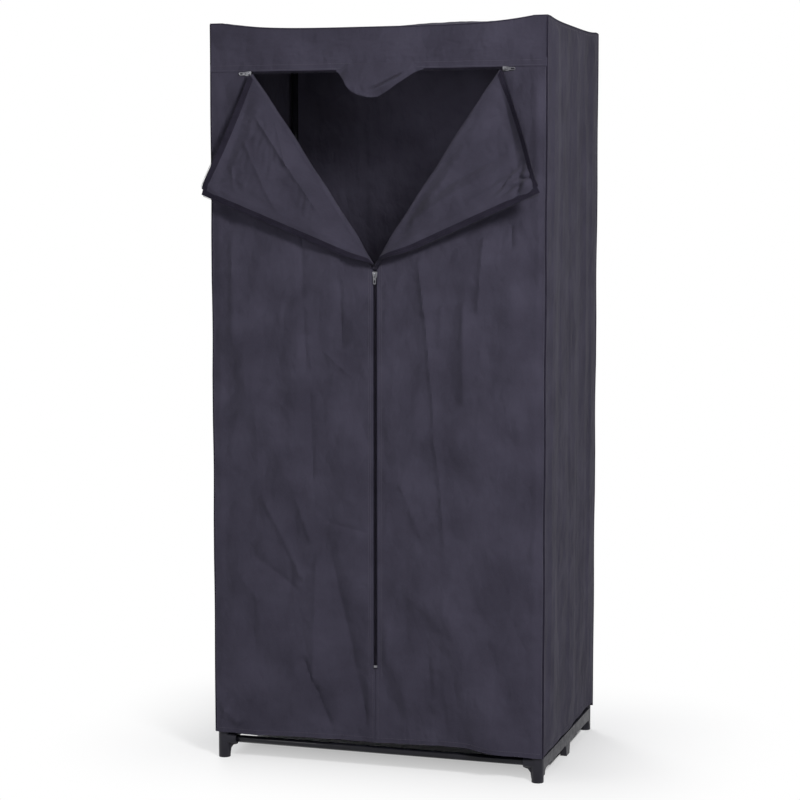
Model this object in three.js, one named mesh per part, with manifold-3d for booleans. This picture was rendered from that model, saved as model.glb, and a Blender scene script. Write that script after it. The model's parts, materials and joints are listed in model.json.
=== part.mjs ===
// Portable fabric wardrobe: a tube frame in moulded end brackets, under a sewn cloth cover
// whose two door leaves are zipped along the middle and along the header.
// Millimetres, +Z up, the front faces -Y, and the origin is on the floor under the middle.
import * as THREE from 'three';
import { mergeVertices } from 'three/addons/utils/BufferGeometryUtils.js';
import Module from 'manifold-3d';

const wasm = await Module();
wasm.setup();

// Driving dimensions
const HEIGHT = 1600;
const FRAME_WIDTH = 736;
const FRAME_DEPTH = 496;
const LEG_DIAMETER = 26;
const TUBE_DIAMETER = 16;
const TUBE_WALL = 0.6;
const CLOTH = 1.4;
const HEM_HEIGHT = 60;
const DOOR_MARGIN = 78;
const HEADER_DEPTH = 108;
const FOLD_DEPTH = 414;
const FOLD_TOP_INSET = 12;
const ZIP_BOTTOM = 225;
const LEFT_STAND_OFF_DEG = 7;
const RIGHT_STAND_OFF_DEG = 14;

// Clearances shared by all pieces
const SEAT_GAP = 0.3;
const COVER_CLEARANCE = 0.4;
const CUT_OVERRUN = 1;

// Heights and sockets of the frame
const BASE_TUBE_HEIGHT = 42;
const TOP_TUBE_DROP = 30;
const HANGING_RAIL_DROP = 50;
const DOME_GAP = 0.4;
const SOCKET_CLEARANCE = 0.3;
const SOCKET_LENGTH = 32;
const SOCKET_FLOOR = 3;
const BOSS_WALL = 4;

const legRadius = LEG_DIAMETER / 2;
const tubeRadius = TUBE_DIAMETER / 2;
const boreRadius = tubeRadius + SOCKET_CLEARANCE;
const bossRadius = tubeRadius + BOSS_WALL;
const legX = FRAME_WIDTH / 2 - legRadius;
const legY = FRAME_DEPTH / 2 - legRadius;
const topTubeHeight = HEIGHT - TOP_TUBE_DROP;
const hangingRailHeight = HEIGHT - HANGING_RAIL_DROP;

// Surfaces of the cover, measured to the middle of the cloth
const sideX = FRAME_WIDTH / 2 + COVER_CLEARANCE + CLOTH / 2;
const frontY = -(FRAME_DEPTH / 2 + COVER_CLEARANCE + CLOTH / 2);
const outerX = sideX + CLOTH / 2;
const outerY = -frontY + CLOTH / 2;

// The door: the zips' centre lines, and the fold line from A, at the upper slider's mouth,
// down to B, above the centre slider
const openingHalf = FRAME_WIDTH / 2 - DOOR_MARGIN;
const openingTop = HEIGHT - HEADER_DEPTH;
const foldBottom = openingTop - FOLD_DEPTH;
const foldHalf = openingHalf - FOLD_TOP_INSET;
const foldRise = FOLD_DEPTH;
const foldLength = Math.hypot(foldHalf, foldRise);
const foldSlope = foldRise / foldHalf;

const ROUND_SIDES = 20;
const TUBE_SIDES = 12;
const JOINER_SIDES = 16;
const CORNER_STEPS = 3;

const paint = (hex, roughness, metalness = 0) =>
  new THREE.MeshStandardMaterial({ color: hex, roughness, metalness });
const materials = {
  cloth: paint(0x3d3a46, 0.95),
  tape: paint(0x24222a, 0.9),
  plastic: paint(0x2a2930, 0.5),
  tube: paint(0x26252b, 0.35, 0.6),
  zincCast: paint(0xb9bac0, 0.3, 0.9),
};

// Solids

function bare(geometry) {
  const plain = geometry.clone();
  plain.deleteAttribute('normal');
  plain.deleteAttribute('uv');
  return mergeVertices(plain, 1e-4);
}

function toSolid(geometry) {
  const merged = bare(geometry);
  const vertProperties = new Float32Array(merged.attributes.position.array);
  const triVerts = new Uint32Array(merged.index.array);
  return new wasm.Manifold(new wasm.Mesh({ numProp: 3, vertProperties, triVerts }));
}

function toGeometry(solid) {
  const mesh = solid.getMesh();
  const geometry = new THREE.BufferGeometry();
  const corners = new Float32Array(mesh.vertProperties);
  geometry.setAttribute('position', new THREE.BufferAttribute(corners, 3));
  geometry.setIndex(new THREE.BufferAttribute(new Uint32Array(mesh.triVerts), 1));
  return geometry;
}

function joined(geometries) {
  return geometries.map(toSolid).reduce((whole, next) => whole.add(next));
}

function cutFrom(solid, geometries) {
  return geometries.map(toSolid).reduce((rest, tool) => rest.subtract(tool), solid);
}

// A round bar between two points on a line along x, y or z
const turnTo = {
  x: (g) => g.rotateZ(-Math.PI / 2),
  y: (g) => g,
  z: (g) => g.rotateX(Math.PI / 2),
};
function roundBar(axis, radius, from, to, centre, sides = ROUND_SIDES) {
  const bar = turnTo[axis](new THREE.CylinderGeometry(radius, radius, to - from, sides));
  const place = new THREE.Vector3(...centre);
  place[axis] = (from + to) / 2;
  return bar.translate(place.x, place.y, place.z);
}

function block(x0, x1, y0, y1, z0, z1) {
  const size = [x1 - x0, y1 - y0, z1 - z0].map(Math.abs);
  return new THREE.BoxGeometry(...size).translate((x0 + x1) / 2, (y0 + y1) / 2, (z0 + z1) / 2);
}

// An outline extruded so that its x, y and depth run along three given directions
function extruded(shape, depth, along, up, curveSegments = CORNER_STEPS) {
  const geometry = new THREE.ExtrudeGeometry(shape, { depth, bevelEnabled: false, curveSegments });
  const outward = new THREE.Vector3().crossVectors(along, up);
  return geometry.applyMatrix4(new THREE.Matrix4().makeBasis(along, up, outward));
}

const X = new THREE.Vector3(1, 0, 0);
const Y = new THREE.Vector3(0, 1, 0);
const Z = new THREE.Vector3(0, 0, 1);
const opposite = (v) => v.clone().negate();

function outline(points) {
  return new THREE.Shape(points.map(([x, y]) => new THREE.Vector2(x, y)));
}

// Frame tubes

function tube(axis, from, to, centre) {
  const profile = [
    [tubeRadius - TUBE_WALL, 0],
    [tubeRadius, 0],
    [tubeRadius, to - from],
    [tubeRadius - TUBE_WALL, to - from],
    [tubeRadius - TUBE_WALL, 0],
  ].map(([r, h]) => new THREE.Vector2(r, h));
  const geometry = bare(new THREE.LatheGeometry(profile, TUBE_SIDES));
  turnTo[axis](geometry.translate(0, (from - to) / 2, 0));
  const place = new THREE.Vector3(...centre);
  place[axis] = (from + to) / 2;
  return geometry.translate(place.x, place.y, place.z);
}

// Moulded end brackets

const RAIL_THICKNESS = 14;
const RAIL_HEIGHT = 26;
const RAIL_SKIN = 2.4;
const RIB_THICKNESS = 2.2;
const RIB_PITCH = 66;
const RAIL_UNDERSIDE = 26;
const MIDDLE_FOOT_LENGTH = 36;
const MIDDLE_FOOT_TIP = 26;
const FOOT_FILLET = 12;
const FOOT_ROUND = 3;
const BOSS_LENGTH = 30;
const GUSSET_THICKNESS = 5;
const GUSSET_FOOT = 6;
const LEG_SOCKET_FLOOR = 28;
const LEG_TOP = 58;
const HUB_LENGTH = 52;
const DOME_HEIGHT = 8;

// The rail in side view: straight top, two arches between the feet, fillets into each
function baseRailOutline() {
  const legFace = legY;
  const footHalf = MIDDLE_FOOT_LENGTH / 2;
  const tipHalf = MIDDLE_FOOT_TIP / 2;
  const top = RAIL_UNDERSIDE + RAIL_HEIGHT;
  const low = RAIL_UNDERSIDE;
  const shape = new THREE.Shape();
  shape.moveTo(-legFace, top);
  shape.lineTo(-legFace, low - FOOT_FILLET);
  shape.lineTo(-legFace + legRadius, low - FOOT_FILLET);
  shape.quadraticCurveTo(-legFace + legRadius, low, -legFace + legRadius + FOOT_FILLET, low);
  shape.lineTo(-footHalf - FOOT_FILLET, low);
  shape.quadraticCurveTo(-footHalf, low, -footHalf, low - FOOT_FILLET);
  shape.lineTo(-tipHalf - FOOT_ROUND, FOOT_ROUND);
  shape.quadraticCurveTo(-tipHalf - FOOT_ROUND, 0, -tipHalf, 0);
  shape.lineTo(tipHalf, 0);
  shape.quadraticCurveTo(tipHalf + FOOT_ROUND, 0, tipHalf + FOOT_ROUND, FOOT_ROUND);
  shape.lineTo(footHalf, low - FOOT_FILLET);
  shape.quadraticCurveTo(footHalf, low, footHalf + FOOT_FILLET, low);
  shape.lineTo(legFace - legRadius - FOOT_FILLET, low);
  shape.quadraticCurveTo(legFace - legRadius, low, legFace - legRadius, low - FOOT_FILLET);
  shape.lineTo(legFace, low - FOOT_FILLET);
  shape.lineTo(legFace, top);
  return shape;
}

// Pockets moulded into the inner side of a rail, with a rib left between each two
function ribPockets(side, low, high) {
  const inner = side * (FRAME_WIDTH / 2 - RAIL_THICKNESS);
  const floor = side * (FRAME_WIDTH / 2 - RAIL_SKIN);
  const start = bossRadius + RIB_THICKNESS;
  const room = legY - legRadius - RIB_THICKNESS - start;
  const count = Math.max(1, Math.round(room / RIB_PITCH));
  const pitch = room / count;
  const pockets = [];
  for (const end of [-1, 1]) {
    for (let i = 0; i < count; i += 1) {
      const near = end * (start + i * pitch + RIB_THICKNESS / 2);
      const far = end * (start + (i + 1) * pitch - RIB_THICKNESS / 2);
      const mouth = inner - side * CUT_OVERRUN;
      pockets.push(block(mouth, floor, near, far, low + RAIL_SKIN, high - RAIL_SKIN));
    }
  }
  return pockets;
}

function railPlate(side, shape) {
  const start = side > 0 ? FRAME_WIDTH / 2 - RAIL_THICKNESS : -FRAME_WIDTH / 2;
  return extruded(shape, RAIL_THICKNESS, Y, Z).translate(start, 0, 0);
}

// A horizontal socket that takes the end of a cross tube, and the bore inside it
const bossMouth = legX - BOSS_LENGTH;
const boreEnd = legX - boreRadius - SOCKET_FLOOR;
function boss(side, y, z) {
  const [from, to] = [side * bossMouth, side * legX].sort((a, b) => a - b);
  return roundBar('x', bossRadius, from, to, [0, y, z]);
}
function bossBore(side, y, z) {
  const ends = [side * (bossMouth - CUT_OVERRUN), side * boreEnd];
  const [from, to] = ends.sort((a, b) => a - b);
  return roundBar('x', boreRadius, from, to, [0, y, z]);
}

// The curved web below a front or rear boss, down the inner side of its leg
function gusset(side, y) {
  const shape = new THREE.Shape();
  const underside = BASE_TUBE_HEIGHT - bossRadius;
  shape.moveTo(legX, underside + bossRadius);
  shape.lineTo(legX, GUSSET_FOOT);
  shape.lineTo(legX - legRadius, GUSSET_FOOT);
  shape.quadraticCurveTo(legX - legRadius, underside, bossMouth, underside);
  shape.lineTo(bossMouth, underside + bossRadius);
  const plate = extruded(shape, GUSSET_THICKNESS, side > 0 ? X : opposite(X), Z);
  const depthWay = side > 0 ? 1 : -1;
  return plate.translate(0, y + (depthWay * GUSSET_THICKNESS) / 2, 0);
}

function baseEnd(side) {
  const parts = [railPlate(side, baseRailOutline()), boss(side, 0, BASE_TUBE_HEIGHT)];
  const bores = ribPockets(side, RAIL_UNDERSIDE, RAIL_UNDERSIDE + RAIL_HEIGHT);
  bores.push(bossBore(side, 0, BASE_TUBE_HEIGHT));
  for (const y of [-legY, legY]) {
    parts.push(roundBar('z', legRadius, 0, LEG_TOP, [side * legX, y, 0]));
    parts.push(boss(side, y, BASE_TUBE_HEIGHT));
    parts.push(gusset(side, y));
    const socketTop = LEG_TOP + CUT_OVERRUN;
    bores.push(roundBar('z', boreRadius, LEG_SOCKET_FLOOR, socketTop, [side * legX, y, 0]));
    bores.push(bossBore(side, y, BASE_TUBE_HEIGHT));
  }
  return toGeometry(cutFrom(joined(parts), bores));
}

// The roof's corners rest on the domes of the top brackets
const roofUnderside = HEIGHT - CLOTH;
const domeTop = roofUnderside - DOME_GAP;
const hubBottom = domeTop - HUB_LENGTH;
const topRailTop = topTubeHeight + bossRadius;
const topRailLow = topRailTop - RAIL_HEIGHT;
const postTop = topTubeHeight + tubeRadius;

function cornerHub(side, y) {
  const shoulder = domeTop - DOME_HEIGHT - hubBottom;
  const profile = [new THREE.Vector2(0, 0), new THREE.Vector2(legRadius, 0)];
  for (let i = 0; i <= CORNER_STEPS; i += 1) {
    const turn = (i / CORNER_STEPS) * (Math.PI / 2);
    const radius = i === CORNER_STEPS ? 0 : legRadius * Math.cos(turn);
    profile.push(new THREE.Vector2(radius, shoulder + DOME_HEIGHT * Math.sin(turn)));
  }
  const hub = new THREE.LatheGeometry(profile, ROUND_SIDES);
  return hub.rotateX(Math.PI / 2).translate(side * legX, y, hubBottom);
}

function topRailOutline() {
  const cradleHalf = bossRadius;
  const shape = new THREE.Shape();
  shape.moveTo(-legY, topRailTop);
  shape.lineTo(-legY, topRailLow);
  shape.lineTo(-cradleHalf - FOOT_FILLET, topRailLow);
  shape.quadraticCurveTo(-cradleHalf, topRailLow, -cradleHalf, hangingRailHeight);
  shape.lineTo(cradleHalf, hangingRailHeight);
  shape.quadraticCurveTo(cradleHalf, topRailLow, cradleHalf + FOOT_FILLET, topRailLow);
  shape.lineTo(legY, topRailLow);
  shape.lineTo(legY, topRailTop);
  return shape;
}

function topEnd(side) {
  const parts = [railPlate(side, topRailOutline()), boss(side, 0, hangingRailHeight)];
  const bores = ribPockets(side, topRailLow, topRailTop);
  bores.push(bossBore(side, 0, hangingRailHeight));
  for (const y of [-legY, legY]) {
    parts.push(cornerHub(side, y));
    parts.push(boss(side, y, topTubeHeight));
    const mouth = hubBottom - CUT_OVERRUN;
    bores.push(roundBar('z', boreRadius, mouth, postTop + SEAT_GAP, [side * legX, y, 0]));
    bores.push(bossBore(side, y, topTubeHeight));
  }
  return toGeometry(cutFrom(joined(parts), bores));
}

// The sleeve that couples the two halves of a post, with a stop web in the middle
const JOINER_LENGTH = 64;
const JOINER_WALL = 2;
const JOINER_WEB = 2;
const JOINER_LIP = 1;
const joinerHeight = HEIGHT / 2;
const postSplit = { low: joinerHeight - JOINER_WEB / 2, high: joinerHeight + JOINER_WEB / 2 };
function postJoiner(x, y) {
  const outer = boreRadius + JOINER_WALL;
  const half = JOINER_LENGTH / 2;
  const web = JOINER_WEB / 2;
  const profile = [
    [0, -web],
    [boreRadius, -web],
    [boreRadius, -half],
    [outer - JOINER_LIP, -half],
    [outer, -half + JOINER_LIP],
    [outer, half - JOINER_LIP],
    [outer - JOINER_LIP, half],
    [boreRadius, half],
    [boreRadius, web],
    [0, web],
  ].map(([r, h]) => new THREE.Vector2(r, h));
  const sleeve = new THREE.LatheGeometry(profile, JOINER_SIDES);
  return bare(sleeve.rotateX(Math.PI / 2).translate(x, y, joinerHeight));
}

// Cloth sheets

// A closed sheet of the cloth's thickness over a grid of shares from 0 to 1. place(u, v)
// gives the middle of the cloth and the way that it faces.
function clothSheet(columns, rows, place) {
  const positions = [];
  const index = [];
  const wide = columns.length;
  const tall = rows.length;
  for (const face of [0.5, -0.5]) {
    for (const v of rows) {
      for (const u of columns) {
        const { point, facing } = place(u, v);
        const corner = point.clone().addScaledVector(facing, face * CLOTH);
        positions.push(corner.x, corner.y, corner.z);
      }
    }
  }
  const at = (layer, row, column) => layer * wide * tall + row * wide + column;
  const quad = (a, b, c, d) => index.push(a, b, c, a, c, d);
  for (let r = 0; r + 1 < tall; r += 1) {
    for (let c = 0; c + 1 < wide; c += 1) {
      quad(at(0, r, c), at(0, r, c + 1), at(0, r + 1, c + 1), at(0, r + 1, c));
      quad(at(1, r, c), at(1, r + 1, c), at(1, r + 1, c + 1), at(1, r, c + 1));
    }
  }
  for (let c = 0; c + 1 < wide; c += 1) {
    const last = tall - 1;
    quad(at(0, 0, c + 1), at(0, 0, c), at(1, 0, c), at(1, 0, c + 1));
    quad(at(0, last, c), at(0, last, c + 1), at(1, last, c + 1), at(1, last, c));
  }
  for (let r = 0; r + 1 < tall; r += 1) {
    const last = wide - 1;
    quad(at(0, r, 0), at(0, r + 1, 0), at(1, r + 1, 0), at(1, r, 0));
    quad(at(0, r + 1, last), at(0, r, last), at(1, r, last), at(1, r + 1, last));
  }
  const geometry = new THREE.BufferGeometry();
  geometry.setAttribute('position', new THREE.Float32BufferAttribute(positions, 3));
  geometry.setIndex(index);
  return geometry;
}

const evenShares = (count) => Array.from({ length: count + 1 }, (_, i) => i / count);
const ramp = THREE.MathUtils.smoothstep;
const { lerp } = THREE.MathUtils;

// Folds. Each is a soft ridge from one place to another, both in shares of the panel's
// width and height, with its half-width and its rise as shares of the values below.
const FOLD_HALF_WIDTH = 40;
const FOLD_HEIGHT = 7;
function foldsOver(width, height, foldShares) {
  const ridges = foldShares.map(([from, to, widthShare, riseShare]) => ({
    from: new THREE.Vector2(from[0] * width, from[1] * height),
    to: new THREE.Vector2(to[0] * width, to[1] * height),
    reach: FOLD_HALF_WIDTH * widthShare,
    rise: FOLD_HEIGHT * riseShare,
  }));
  return (across, up) => {
    const point = new THREE.Vector2(across, up);
    let total = 0;
    for (const { from, to, reach, rise } of ridges) {
      const run = to.clone().sub(from);
      const share = point.clone().sub(from).dot(run) / run.lengthSq();
      const nearest = from.clone().addScaledVector(run, Math.min(1, Math.max(0, share)));
      total += rise * Math.exp(-((point.distanceTo(nearest) / reach) ** 2));
    }
    return total;
  };
}

// The roof sags between the four corner hubs, and the walls' upper edges follow it
const FRONT_SAG = 15;
const SIDE_SAG = 5;
const ACROSS = 14;
const DEEP = 8;
const droop = (place, hub) => Math.max(0, 1 - Math.abs(place / (hub - legRadius)) ** 4);
function roofMiddle(x, y) {
  return HEIGHT - CLOTH / 2 - FRONT_SAG * droop(x, legX) - SIDE_SAG * droop(y, legY);
}
function sharesBetweenHubs(half, hub, count) {
  const hubShare = (half - hub + legRadius) / (2 * half);
  const between = evenShares(count).map((share) => lerp(hubShare, 1 - hubShare, share));
  return [0, ...between, 1];
}
const sharesAcross = sharesBetweenHubs(outerX, legX, ACROSS);
const sharesDeep = sharesBetweenHubs(outerY, legY, DEEP);
const wallTop = (x, y) => roofMiddle(x, y) - CLOTH / 2 - SEAT_GAP;

function coverTop() {
  return clothSheet(sharesAcross, sharesDeep, (u, v) => {
    const x = lerp(-outerX, outerX, u);
    const y = lerp(-outerY, outerY, v);
    return { point: new THREE.Vector3(x, y, roofMiddle(x, y)), facing: Z };
  });
}

// The hem hangs a little unevenly
const HEM_WAVE = 4;
const HEM_WAVE_LENGTH = 330;
const hem = (along) => HEM_HEIGHT + HEM_WAVE * (1 - Math.cos((along / HEM_WAVE_LENGTH) * Math.PI)) / 2;

const BACK_ROWS = 8;
const backFoldShares = [
  [[0.12, 0.95], [0.14, 0.1], 1.3, 0.6],
  [[0.31, 0.9], [0.27, 0.3], 1.4, 0.5],
  [[0.48, 0.98], [0.5, 0.05], 1.5, 0.7],
  [[0.66, 0.8], [0.7, 0.15], 1.3, 0.5],
  [[0.86, 0.95], [0.85, 0.08], 1.3, 0.7],
];
const EDGE_FADE = 32;
function coverBack() {
  const width = 2 * outerX;
  const height = HEIGHT - HEM_HEIGHT;
  const folds = foldsOver(width, height, backFoldShares);
  return clothSheet(sharesAcross, evenShares(BACK_ROWS), (u, v) => {
    const x = lerp(outerX, -outerX, u);
    const z = lerp(hem(x), wallTop(x, -frontY), v);
    const fade = ramp(outerX - Math.abs(x), 0, EDGE_FADE) * ramp(wallTop(x, -frontY) - z, 0, EDGE_FADE);
    const y = -frontY + fade * folds(u * width, z - HEM_HEIGHT);
    return { point: new THREE.Vector3(x, y, z), facing: Y };
  });
}

const SIDE_ROWS = 9;
const sideFoldShares = [
  [[0.14, 1], [0.12, 0.03], 0.85, 0.75],
  [[0.33, 0.97], [0.36, 0.2], 0.8, 0.5],
  [[0.52, 1], [0.5, 0.05], 0.85, 0.8],
  [[0.71, 0.85], [0.68, 0.1], 0.8, 0.5],
  [[0.88, 1], [0.86, 0.08], 0.85, 0.7],
];
const SIDE_COLUMNS = 12;
const reach = -frontY - CLOTH / 2 - SEAT_GAP;
const sharesSide = sharesBetweenHubs(reach, legY, SIDE_COLUMNS);
function coverSide(side) {
  const width = 2 * reach;
  const folds = foldsOver(width, HEIGHT - HEM_HEIGHT, sideFoldShares);
  return clothSheet(sharesSide, evenShares(SIDE_ROWS), (u, v) => {
    const y = side * lerp(-reach, reach, u);
    const top = wallTop(side * sideX, y);
    const z = lerp(hem(y), top, v);
    const fade = ramp(reach - Math.abs(y), 0, EDGE_FADE) * ramp(top - z, 0, EDGE_FADE);
    const share = (y + reach) / width;
    const x = side * (sideX + fade * folds(share * width, z - HEM_HEIGHT));
    return { point: new THREE.Vector3(x, y, z), facing: side > 0 ? X : opposite(X) };
  });
}

// The zips lie on the inner side of the cloth. Their chain stands between the cloth's edges.
const CHAIN_TO_CLOTH = 4.5;
const TAPE_WIDTH = 13;
const TAPE_THICKNESS = 0.8;
const TAPE_TO_CHAIN_LINE = 2;
const TOOTH_PITCH = 10;
const TOOTH_REACH = 1.6;
const TOOTH_CLEARANCE = 0.25;
const TOOTH_BAR = 3.6;
const TOOTH_THICKNESS = 2.4;
const TEETH_AHEAD_OF_TAPE = 0.5;
const tapeY = frontY + CLOTH / 2 + SEAT_GAP + TAPE_THICKNESS / 2;
const chainY = tapeY - TEETH_AHEAD_OF_TAPE;

// Header: the strip above the door
const HEADER_ROWS = 3;
const headerBottom = openingTop + CHAIN_TO_CLOTH;
const headerFoldShares = [
  [[0.08, 0.62], [0.44, 0.4], 0.7, 0.35],
  [[0.55, 0.45], [0.92, 0.66], 0.7, 0.4],
];
function header() {
  const width = 2 * outerX;
  const height = HEIGHT - headerBottom;
  const folds = foldsOver(width, height, headerFoldShares);
  return clothSheet(sharesAcross, evenShares(HEADER_ROWS), (u, v) => {
    const x = lerp(-outerX, outerX, u);
    const top = wallTop(x, frontY);
    const z = lerp(headerBottom, top, v);
    const edge = Math.min(top - z, z - headerBottom, outerX - Math.abs(x));
    const y = frontY - ramp(edge, 0, EDGE_FADE) * folds(u * width, z - headerBottom);
    return { point: new THREE.Vector3(x, y, z), facing: opposite(Y) };
  });
}

// The tongue hangs from the header over the place where the three zips meet
const TONGUE_LEFT = -84;
const TONGUE_RIGHT = 106;
const TONGUE_ROOT_ABOVE = 11;
const TONGUE_ROLL = 9;
const TONGUE_DROP = 54;
const TONGUE_KICK = 6;
const TONGUE_COLUMNS = 10;
const TONGUE_ROWS = 6;
const TONGUE_SKEW = 0.75;
const tongueRollShare = 0.34;
const tongueRoot = openingTop + TONGUE_ROOT_ABOVE;
function headerTongue() {
  const base = frontY - CLOTH - SEAT_GAP;
  return clothSheet(evenShares(TONGUE_COLUMNS), evenShares(TONGUE_ROWS), (u, v) => {
    const x = lerp(TONGUE_RIGHT, TONGUE_LEFT, u);
    const hang = TONGUE_DROP * Math.sin(Math.PI * (1 - u) ** TONGUE_SKEW);
    if (v <= tongueRollShare) {
      const turn = (v / tongueRollShare) * (Math.PI / 2);
      const y = base - TONGUE_ROLL * Math.sin(turn);
      const z = tongueRoot - TONGUE_ROLL * (1 - Math.cos(turn));
      return {
        point: new THREE.Vector3(x, y, z),
        facing: new THREE.Vector3(0, -Math.sin(turn), Math.cos(turn)),
      };
    }
    const down = (v - tongueRollShare) / (1 - tongueRollShare);
    const y = base - TONGUE_ROLL - TONGUE_KICK * Math.sin(Math.PI * down) * Math.sin(Math.PI * u);
    const z = tongueRoot - TONGUE_ROLL - (hang + CLOTH) * down;
    return { point: new THREE.Vector3(x, y, z), facing: opposite(Y) };
  });
}

// Fixed front panels, with the slanted edge that the flap folds over
const ROLL_RADIUS = 5;
const FOLD_EDGE_GAP = 0.5;
const SEAM_HALF_GAP = 0.15;
const SEAM_BLEND = 9;
const FRONT_STRIP_COLUMNS = 3;
const FOLD_END_STEP = 3;
const FRONT_COLUMNS = 9;
const FRONT_ROWS_UNDER_ZIP = 3;
const FRONT_ROWS_BY_ZIP = 14;
const FRONT_FADE = 30;
const FOLD_FADE = 60;
const foldEdgeDrop = FOLD_EDGE_GAP * (foldLength / foldHalf);
const frontFoldShares = {
  left: [
    [[0.1, 0.8], [0.13, 0.3], 0.8, 0.9],
    [[0.27, 0.72], [0.2, 0.35], 0.8, 0.5],
    [[0.08, 0.42], [0.52, 0.26], 0.75, 0.8],
    [[0.22, 0.45], [0.6, 0.36], 0.7, 0.5],
    [[0.52, 0.66], [0.5, 0.4], 0.9, 0.6],
    [[0.5, 0.15], [0.72, 0.02], 0.75, 0.8],
    [[0.2, 0.22], [0.22, 0.02], 0.8, 0.6],
    [[0.8, 0.6], [0.82, 0.16], 0.7, 0.5],
  ],
  right: [
    [[0.2, 0.78], [0.18, 0.4], 0.75, 0.9],
    [[0.4, 0.74], [0.38, 0.36], 0.8, 0.7],
    [[0.66, 0.66], [0.62, 0.3], 0.8, 0.6],
    [[0.84, 0.6], [0.8, 0.25], 0.7, 0.4],
    [[0.1, 0.36], [0.3, 0.1], 0.85, 0.6],
    [[0.58, 0.2], [0.46, 0.01], 0.75, 0.8],
    [[0.8, 0.14], [0.84, 0.01], 0.7, 0.5],
  ],
};

// How far in from the centre line the panel's edge stands at a height: the zip's slot
// narrows to a plain seam under the bottom stop
function centreEdge(z) {
  return lerp(SEAM_HALF_GAP, CHAIN_TO_CLOTH, ramp(z, ZIP_BOTTOM - SEAM_BLEND, ZIP_BOTTOM));
}

// Shares counted from the outer edge, put in order from left to right
function mirroredFor(side, shares) {
  return side < 0 ? shares : shares.map((share) => 1 - share).reverse();
}

function frontPanelTop(distance) {
  const foldHeight = foldBottom - foldEdgeDrop + distance * foldSlope;
  return distance >= openingHalf ? headerBottom - SEAT_GAP : Math.min(foldHeight, openingTop - CHAIN_TO_CLOTH);
}

function frontColumns(side) {
  const stripShare = (outerX - openingHalf) / outerX;
  const strip = evenShares(FRONT_STRIP_COLUMNS).map((share) => share * stripShare);
  const stepShare = stripShare + FOLD_END_STEP / outerX;
  const foldEnd = (openingTop - CHAIN_TO_CLOTH + foldEdgeDrop - foldBottom) / foldSlope;
  const foldShare = (outerX - foldEnd) / outerX;
  const rest = evenShares(FRONT_COLUMNS).map((share) => lerp(foldShare, 1, share));
  return mirroredFor(side, [...strip, stepShare, ...rest]);
}

// Rows fall on both ends of the seam's blend, so that the edge clears the bottom stop
function frontRows() {
  const shareAt = (z) => (z - HEM_HEIGHT) / (frontPanelTop(0) - HEM_HEIGHT);
  const slotShare = shareAt(ZIP_BOTTOM);
  const seamShare = shareAt(ZIP_BOTTOM - SEAM_BLEND);
  const under = evenShares(FRONT_ROWS_UNDER_ZIP).map((share) => share * seamShare);
  const beside = evenShares(FRONT_ROWS_BY_ZIP).map((share) => lerp(slotShare, 1, share));
  return [...under, ...beside];
}

// The soft roll of the fold: a round bead on the fold's axis, on a short neck. Its section
// is drawn with x across the fold line, towards the opening, and y towards the front.
const ROLL_NECK = 1.4;
const ROLL_END_INSET = 22;
function foldRoll(side) {
  const radius = ROLL_RADIUS - CLOTH / 2 - SEAT_GAP;
  const neckTurn = Math.asin(ROLL_NECK / radius);
  const shape = new THREE.Shape();
  shape.moveTo(-ROLL_NECK, -ROLL_RADIUS);
  shape.absarc(0, 0, radius, -Math.PI / 2 - neckTurn, Math.PI, false);
  shape.lineTo(-radius, -ROLL_RADIUS);
  const along = new THREE.Vector3(side * foldHalf, 0, foldRise).divideScalar(foldLength);
  const across = new THREE.Vector3(-side * foldRise, 0, foldHalf).divideScalar(foldLength);
  const length = foldLength - 2 * ROLL_END_INSET;
  const roll = extruded(shape, length, across, opposite(Y));
  const depthWay = new THREE.Vector3().crossVectors(across, opposite(Y)).dot(along);
  const start = new THREE.Vector3(0, frontY - ROLL_RADIUS, foldBottom);
  start.addScaledVector(along, depthWay > 0 ? ROLL_END_INSET : foldLength - ROLL_END_INSET);
  return roll.translate(start.x, start.y, start.z);
}

function frontPanel(side) {
  const height = headerBottom - HEM_HEIGHT;
  const folds = foldsOver(outerX, height, side < 0 ? frontFoldShares.left : frontFoldShares.right);
  const sheet = clothSheet(frontColumns(side), frontRows(), (share, v) => {
    const u = side < 0 ? share : 1 - share;
    const across = outerX * (1 - u);
    const top = frontPanelTop(across);
    const z = lerp(hem(side * across), top, v);
    const distance = Math.max(across, lerp(centreEdge(z), outerX, 1 - u));
    const foldDistance = (distance - foldHalf * (z - foldBottom) / foldRise) * (foldRise / foldLength);
    const fade = ramp(outerX - distance, 0, FRONT_FADE) * ramp(distance, CHAIN_TO_CLOTH, FRONT_FADE)
      * ramp(foldDistance, 0, FOLD_FADE) * ramp(headerBottom - z, 0, FOLD_FADE);
    const y = frontY - fade * folds(u * outerX, z - HEM_HEIGHT);
    return { point: new THREE.Vector3(side * distance, y, z), facing: opposite(Y) };
  });
  return toGeometry(joined([sheet, foldRoll(side)]));
}

// Flaps, drawn in their closed place, where they fill the opening
const FLAP_END_TRIM = 26;
const FLAP_CORNER_ROUND = 20;
const FLAP_COLUMNS = 9;
const FLAP_ROWS = 8;
const ZIP_BAND = 16;
const zipBandShare = 0.9;
const FLAP_FADE = 34;
const flapCornerShares = [0.35, 0.8];
const flapFoldShares = {
  left: [
    [[0.12, 0.86], [0.5, 0.52], 1, 0.8],
    [[0.4, 0.95], [0.72, 0.3], 0.9, 0.6],
    [[0.62, 0.9], [0.92, 0.6], 0.8, 0.7],
  ],
  right: [
    [[0.3, 0.8], [0.95, 0.85], 0.9, 0.9],
    [[0.45, 0.55], [0.96, 0.55], 0.9, 0.8],
    [[0.7, 0.25], [0.95, 0.3], 0.8, 0.5],
  ],
};

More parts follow.
